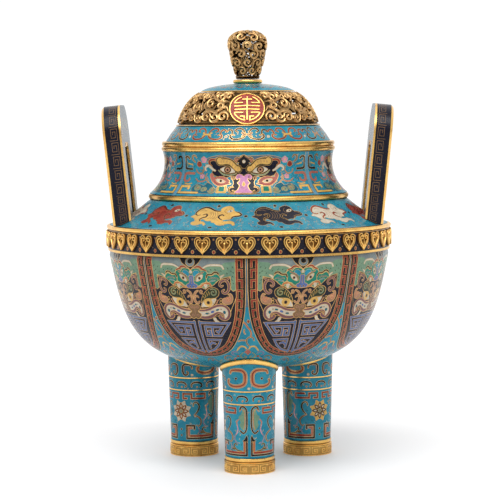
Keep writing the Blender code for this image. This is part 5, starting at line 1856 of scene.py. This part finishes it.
def add_roundels():
    """Red discs with gilt strokes, crowned and leaning with the dome."""
    relief = roundel_relief()
    flat, faces, middle = relief.sheet(arc(ROUNDEL_RADIUS, 0, 360, 73)[:-1], 1.7)
    on_bars = relief.height(middle) > 0.02
    away = np.hypot(flat[:, 0], flat[:, 1])
    crown = -2.0 * (away / ROUNDEL_RADIUS) ** 2
    rise = np.where(away > ROUNDEL_RADIUS - 0.05, 0.0, np.maximum(relief.height(flat), 0.0))
    spots = np.stack([flat[:, 0], -(rise + crown + 0.4), -flat[:, 1]], 1) * MM
    level = np.abs(DOME_LINE[:, 1] - ROUNDEL_HEIGHT).argmin()
    tilt = math.atan2(*(DOME_LINE[level - 1] - DOME_LINE[level + 1]))
    spot = Matrix.Translation((0, -DOME_LINE[level, 0] * MM, ROUNDEL_HEIGHT * MM))
    seat = spot @ Matrix.Rotation(tilt, 4, "X")
    for place, turn in (("front", 0.0), ("back", math.pi)):
        drawn = bmesh.new()
        # Gilt bars are light on their crests and darker at their feet: patina and painted shade.
        made, layer = raised(drawn, spots, faces, np.clip(0.3 - rise * 0.3, 0, 1), 1)
        for face, gilded in zip(made, on_bars):
            face.material_index = 0 if gilded else 1
        backed(drawn, made, WALL, 0, layer, Vector((0, -1, 0)))
        drawn.transform(Matrix.Rotation(turn, 4, "Z") @ seat)
        link(f"roundel_{place}", drawn, ["gilt", "coral"], f"lid_roundel_{place}")


# Openwork of the dome and the knob


def openwork(relief, side, width, top, base, thickness, frames, cell):
    """Pierced carving round a turned side, in two halves: what the strokes cover stays, the rest is open."""
    bottom = side.length()
    across = np.linspace(-width / 2, width / 2, max(8, round(width / 2.0)) + 1)
    down = np.linspace(top, bottom, max(2, round((bottom - top) / 2.0)) + 1)
    flat, faces, middle = relief.sheet(frame_points(across, down), cell)
    covered = relief.height(middle) > -0.5
    for low, high in frames:
        covered |= (middle[:, 1] > low) & (middle[:, 1] < high)
    rise = np.maximum(relief.height(flat), 0.0)
    drawn = bmesh.new()
    # Lower parts of the carving darken towards the hollow colour: patina and painted shade.
    patina_shade_depth = np.clip(1.2 - rise * 0.64, 0, 1)
    _, layer = raised(drawn, side.wrap(flat, rise + base), faces[covered], patina_shade_depth, 0)
    repeated(drawn, 2)
    weld_open(drawn)
    backed(drawn, list(drawn.faces), thickness, 1, layer)
    return drawn


DOME_WIDTH = TURN / 2 * 70.0


def dome_relief():
    relief = Relief()
    # A flat ring round the roundel, sunk to the base of the sheet so it takes the full hollow colour: painted
    # shade standing for dark gaps beside the roundel.
    relief.stroke(arc(21.6, 0, 360, 49, (0, 20.6)), 5.6, -0.4, 0.05, soft=False, groove=0.0)
    relief.stroke(arc(18.6, 0, 360, 49, (0, 20.6)), 1.7, 0.0, 0.7, soft=False, groove=0.2)
    edge = DOME_WIDTH / 2
    relief.stroke([(-edge - 2, 0.9), (edge + 2, 0.9)], 1.9, 0.0, 0.9, soft=False, groove=0.1)
    relief.stroke([(-edge - 2, 38.3), (edge + 2, 38.3)], 1.9, 0.0, 0.7, soft=False, groove=0.1)
    swirls = [
        (24.5, 32.6, 5.2, 150, 1.5), (33.6, 33.4, 4.8, 20, 1.4), (22.0, 8.6, 4.4, 200, 1.3),
        (31.5, 10.5, 5.4, 330, 1.5), (30.0, 21.2, 4.2, 90, 1.3), (42.5, 17.8, 5.6, 210, 1.5),
        (41.0, 5.6, 4.2, 20, 1.3), (43.4, 33.0, 5.0, 180, 1.5), (52.0, 9.0, 4.8, 150, 1.4),
        (53.6, 34.4, 4.0, 0, 1.3), (60.8, 21.8, 5.6, 300, 1.5), (63.0, 7.0, 4.4, 80, 1.3),
        (64.0, 33.6, 4.8, 160, 1.4), (72.0, 14.0, 5.0, 220, 1.4), (75.0, 28.4, 5.4, 30, 1.5),
        (73.6, 4.8, 3.4, 0, 1.2), (84.0, 8.2, 4.8, 120, 1.4), (86.4, 20.4, 5.4, 260, 1.5),
        (86.0, 33.6, 4.6, 60, 1.3), (97.0, 12.4, 5.2, 200, 1.4), (98.4, 27.0, 5.2, 340, 1.4),
        (106.6, 5.6, 4.0, 90, 1.3), (107.0, 19.4, 4.4, 140, 1.3), (107.4, 34.0, 4.2, 0, 1.3),
    ]
    for x, y, size, first, turns in swirls:
        relief.swirl(x, y, size * 1.12, first, turns * 0.84, 0.6, 1.3, 3.6, pair=True)
    bands = [
        [(19.4, 27), (22.6, 22.4), (28, 24.6), (34, 28), (39.4, 26.4), (45, 26.8), (48.6, 29.4)],
        [(20.4, 16.6), (24.8, 15.4), (27.8, 17.2), (33.2, 16.2), (37.4, 12.4)],
        [(17.4, 3.4), (24, 3.4), (30, 4.6), (36.4, 3.8)],
        [(35.2, 20.4), (37, 24.2), (42, 25), (48, 23), (50.8, 18.6), (49.2, 14.2)],
        [(46.6, 4.4), (50.4, 3.2), (56, 4.4), (58.6, 8.2), (57.2, 13.2), (53.6, 16)],
        [(55, 28.6), (52.6, 24.6), (54.8, 19.6), (57.8, 15.4)],
        [(58.6, 28.4), (64.4, 28.8), (69.6, 26.2), (68.4, 20.6)],
        [(66.6, 12.2), (69.6, 7.8), (74, 8.6), (78.4, 9.6), (79.6, 14), (78.8, 19.6), (81.4, 24.6)],
        [(70, 35), (74.8, 35.4), (80.4, 34), (81.6, 30), (87.4, 27.4)],
        [(79.6, 3.4), (86, 2.8), (92.4, 4.2), (94.6, 8)],
        [(91.6, 32.6), (92.4, 26.6), (91.6, 22), (93.4, 17.8)],
        [(93, 35.4), (98.2, 34.8), (102.4, 33.2)],
        [(100, 18.6), (103, 14.4), (102, 9.2), (100.4, 4)],
    ]
    for number, band in enumerate(bands):
        relief.stroke(band, [1.6, 3.8, 4.6, 3.4, 1.7], 0.1 if number % 2 else 0.8, 1.1, pair=True)
    ties = [
        [(19.6, 31), (20.4, 36.8)], [(28.6, 36.6), (29.6, 30.2)], [(38.2, 36.6), (39, 29.8)],
        [(48.2, 35.8), (49.6, 31.6)],
        [(59, 36.6), (58.2, 31)], [(36.2, 8.6), (37.2, 2.6)], [(47.4, 11.8), (46.8, 6.6)],
        [(67.6, 2.6), (68.4, 6.6)],
        [(26.2, 6), (26.8, 12.6)], [(55.6, 22.8), (65, 23.6)], [(80.4, 20), (81.4, 13.4)],
        [(101.6, 30.2), (104, 23.6)],
    ]
    for tie in ties:
        relief.stroke(tie, 2.2, -0.2, 0.9, pair=True, soft=False)
    relief.fill((22.0, 110.0), (4, 36), 3.2, 21, 7.4, -0.2, 0.9, 2.2, pair=True)
    return relief


def add_dome():
    side = Side(DOME_LINE, 70.0)
    frames = [(-1, 1.8), (side.length() - 4.0, side.length() + 1)]
    drawn = openwork(dome_relief(), side, DOME_WIDTH, 0.0, -1.1, 2.0, frames, 2.4)
    absorb(drawn, lathe([(67.4, 335), (71.6, 335), (72, 335.65), (71.6, 336.3), (70, 336.6), (67.4, 336.6)]))
    link("dome_openwork", drawn, ["carving", "inside"], "lid_dome", math.radians(60))


def knob_relief(width):
    relief = Relief()
    edge = width / 2
    relief.stroke([(-edge - 2, 61.0), (edge + 2, 61.0)], 3.0, 0.2, 0.8, soft=False, groove=0.2)
    relief.stroke([(-edge - 2, 6.2), (edge + 2, 6.2)], 2.4, 0.2, 0.8, soft=False, groove=0.2)
    swirls = [
        (-20.0, 12.6, 3.8, 30), (-10.6, 11.6, 3.6, 200), (-0.6, 11.0, 3.9, 100), (9.6, 12.8, 3.8, 300),
        (19.4, 11.4, 3.6, 160), (-15.4, 20.8, 3.9, 120), (-5.6, 19.4, 3.4, 10), (5.2, 20.8, 4.2, 220),
        (15.6, 20.6, 3.7, 80), (24.6, 20.0, 3.2, 0), (-21.8, 29.0, 3.8, 250), (-11.0, 29.4, 3.8, 330),
        (0.2, 28.6, 3.2, 150), (10.6, 29.8, 4.0, 60), (21.0, 28.8, 3.6, 210), (-17.0, 37.6, 3.7, 60),
        (-5.6, 37.2, 3.9, 190), (5.6, 37.8, 3.7, 320), (16.4, 37.2, 3.8, 110), (-17.0, 53.6, 3.6, 80),
        (-6.0, 54.0, 3.7, 240), (5.4, 53.6, 3.6, 10), (16.6, 54.0, 3.6, 170), (-22.8, 45.4, 3.8, 140),
        (-11.4, 45.6, 3.8, 270), (0.4, 45.4, 3.7, 20), (11.4, 45.8, 3.8, 200), (22.4, 45.2, 3.6, 330),
    ]
    for x, y, size, first in swirls:
        relief.swirl(x, y, size * 1.15, first, 1.12, 0.7, 1.1, 3.0)
        if abs(x) + size + 2 > edge:
            relief.swirl(x - math.copysign(width, x), y, size * 1.15, first, 1.12, 0.7, 1.1, 3.0)
    bands = [
        [(-24, 17), (-19.4, 16.2), (-16, 14.6)],
        [(-7.4, 14.8), (-9.6, 18.4), (-10.4, 24), (-7, 26.4)],
        [(1.4, 15), (4.4, 15.8), (10.6, 17.2), (12.4, 21)], [(9, 24), (14.4, 25), (18.4, 25.2)],
        [(-19.4, 24.6), (-15.4, 26), (-13.6, 32), (-16, 34)],
        [(-8, 32.8), (-4.8, 32.2), (-1, 33), (2, 36)],
        [(4, 32.8), (6.6, 34), (12.6, 34.4), (17, 33)],
        [(20.2, 34), (22, 38), (21, 41.4), (16, 42)],
        [(-21, 40), (-18.8, 42.4), (-14, 41.6), (-10, 41.2)],
        [(-5.4, 41.6), (-6, 46), (-5, 50)],
        [(5.6, 41.6), (6.4, 45.6), (5.6, 50)], [(-17, 46), (-16.6, 50.4)], [(17, 46), (16.8, 50.6)],
        [(-15.2, 6.4), (-14.6, 12.4), (-14.8, 16.8)], [(4.6, 6.4), (4.4, 11), (5, 16.6)],
        [(14.6, 6.8), (14.4, 12), (14.8, 16.6)],
        [(-5.2, 6.6), (-5.6, 11.6), (-5.4, 15.8)], [(24.4, 7), (24.6, 13), (24.4, 16.8)],
    ]
    for number, band in enumerate(bands):
        relief.stroke(band, [1.6, 3.0, 1.8], 0.1 if number % 2 else 0.5, 0.9)
    relief.fill((-edge, edge), (9.0, 58.0), 2.8, 22, 5.3, 0.0, 0.8, 1.9, wrap=width)
    return relief


def knob_side():
    crown = bezier((0.0, 430.1), (11, 0), (-0.5, 7), (19.8, 418.8), 24)
    stem = bezier((19.8, 418.8), (0.5, -10.5), (2.2, 13), (12.3, 381.3), 30)
    return Side(
        [(radius - 0.75, height - (0.75 if height > 413.0 else 0)) for radius, height in [*crown, *stem[1:]]],
        16.0,
    )


def add_knob():
    side = knob_side()
    width = TURN / 2 * side.reference
    frames = [(4.0, 7.4), (side.length() - 2.8, side.length() + 1)]
    drawn = openwork(knob_relief(width), side, width, 5.0, -0.9, 1.6, frames, 2.3)
    crown = [
        (0, 430), (1.6, 430), (2.6, 429.4), (3.4, 428.9), (4.6, 429.2), (5.6, 428.6), (6.4, 427.6),
        (5.6, 426.6), (0, 426.4),
    ]
    absorb(drawn, lathe(crown, 48))
    link("knob_openwork", drawn, ["carving", "inside"], "lid_knob", math.radians(60))


# The feet

FOOT_COPIES = 8
FOOT_SIDE = Side([(24.3, 10.2), (24.3, 0.9)], 24.4)


def foot_sheet():
    """One squared key pair of a foot: its points in place, its triangles and its values for patina and
    painted shade.
    """
    half = TURN / FOOT_COPIES * FOOT_SIDE.reference / 2
    relief = Relief()
    key = [
        (0.8, 1.2), (half - 1.0, 1.2), (half - 1.0, 7.6), (2.6, 7.6), (2.6, 3.6), (half - 3.2, 3.6),
        (half - 3.2, 5.6), (4.8, 5.6),
    ]
    relief.stroke(key, 1.15, 0.0, 0.55, pair=True, soft=False, groove=0.0)
    flat, faces, _ = relief.sheet(frame_points(np.linspace(-half, half, 13), (0.0, 3.1, 6.2, 9.3)), 2.0)
    rise = np.maximum(relief.height(flat), 0.0)
    return FOOT_SIDE.wrap(flat, rise), faces, np.clip(0.62 - rise * 2.4, 0, 1)


def add_feet():
    spots, faces, patina_shade_depth = foot_sheet()
    neck = [
        (24.8, 10.25), (24.85, 10.7), (24.3, 11.1), (23.7, 11.3), (23.6, 11.8), (24.1, 12.3), (24.4, 13.4),
        (24.4, 14.6), (24, 15),
    ]
    for place, frame_of in leg_places():
        drawn = bmesh.new()
        _, layer = raised(drawn, spots, faces, patina_shade_depth, 0)
        repeated(drawn, FOOT_COPIES)
        weld_open(drawn)
        carry(drawn, 10.2, [*neck, (20.9, 15), (20.9, 3), (0, 3)], ["gilt"], "gilt")
        carry(drawn, 0.9, [(24.8, 0.85), (24.9, 0.4), (24.6, 0), (0, 0)], ["gilt"], "gilt")
        for vert in drawn.verts:
            height = vert.co.z / MM
            if not 0.88 < height < 10.22:
                # The groove under the key band takes most of the dark hollow colour: patina and painted
                # shade.
                vert[layer] = 0.85 if 11.2 < height < 12.0 else 0.0
        drawn.transform(frame_of)
        link(f"foot_{place}_gilt", drawn, ["gilt"], f"foot_{place}", math.radians(35))


add_bowl()
add_shoulder()
add_neck()
add_skirt()
add_cap()
add_legs()
add_rings()
add_belt()
add_handles()
add_roundels()
add_dome()
add_knob()
add_feet()


# Floor, light and camera


def add_stage():
    drawn = bmesh.new()
    bmesh.ops.create_grid(drawn, x_segments=1, y_segments=1, size=6.0)
    mesh = bpy.data.meshes.new("floor")
    drawn.to_mesh(mesh)
    drawn.free()
    paper = bpy.data.materials.new("pale_floor")
    paper.use_nodes = True
    shader = paper.node_tree.nodes["Principled BSDF"]
    shader.inputs["Base Color"].default_value = (0.80, 0.80, 0.805, 1.0)
    shader.inputs["Roughness"].default_value = 0.6
    mesh.materials.append(paper)
    floor = bpy.data.objects.new("floor", mesh)
    bpy.context.scene.collection.objects.link(floor)


def add_light(name, height, across, softness, strength):
    """A large soft lamp far off: how high it stands, how far to the right of the front, and its spread."""
    lamp = bpy.data.lights.new(name, "SUN")
    lamp.energy = strength
    lamp.angle = math.radians(softness)
    made = bpy.data.objects.new(name, lamp)
    made.rotation_euler = (math.radians(90 - height), 0.0, math.radians(across))
    bpy.context.scene.collection.objects.link(made)


def add_world(dim, bright):
    """A studio that is bright behind and above the burner, and dimmer in front of it."""
    world = bpy.data.worlds.new("studio")
    world.use_nodes = True
    tree = world.node_tree
    back = tree.nodes["Background"]
    back.inputs["Color"].default_value = (1.0, 1.0, 1.0, 1.0)
    parts = tree.nodes.new("ShaderNodeSeparateXYZ")
    tree.links.new(tree.nodes.new("ShaderNodeTexCoord").outputs["Generated"], parts.inputs[0])
    tree.links.new(spread(tree, parts.outputs["Y"], -0.2, 0.5, dim, bright), back.inputs["Strength"])
    bpy.context.scene.world = world


def add_camera():
    lens = bpy.data.cameras.new("camera")
    sensor, distance_in_pixels, picture = 36.0, 1940.0, 500.0
    lens.sensor_width = sensor
    lens.lens = sensor * distance_in_pixels / picture
    made = bpy.data.objects.new("camera", lens)
    azimuth, pitch, roll = math.radians(0.7), math.radians(4.04), math.radians(0.45)
    reach, height, aside = 1.940, 0.3476, 0.001
    level = math.cos(pitch)
    ahead = Vector((-math.sin(azimuth) * level, math.cos(azimuth) * level, -math.sin(pitch)))
    right = Vector((math.cos(azimuth), math.sin(azimuth), 0.0))
    up = right.cross(ahead)
    across = right * math.cos(roll) - up * math.sin(roll)
    upright = up * math.cos(roll) + right * math.sin(roll)
    turn = Matrix((across, upright, -ahead)).transposed().to_4x4()
    place = Vector((reach * math.sin(azimuth) + aside, -reach * math.cos(azimuth), height))
    made.matrix_world = Matrix.Translation(place) @ turn
    bpy.context.scene.collection.objects.link(made)
    bpy.context.scene.camera = made


add_stage()
add_light("key_left", 58, -20, 44, 2.0)
add_light("fill_right", 46, 36, 40, 0.8)
add_light("top_light", 78, 180, 60, 0.25)
add_world(0.5, 1.05)
add_camera()
bpy.context.scene.view_settings.view_transform = "Standard"
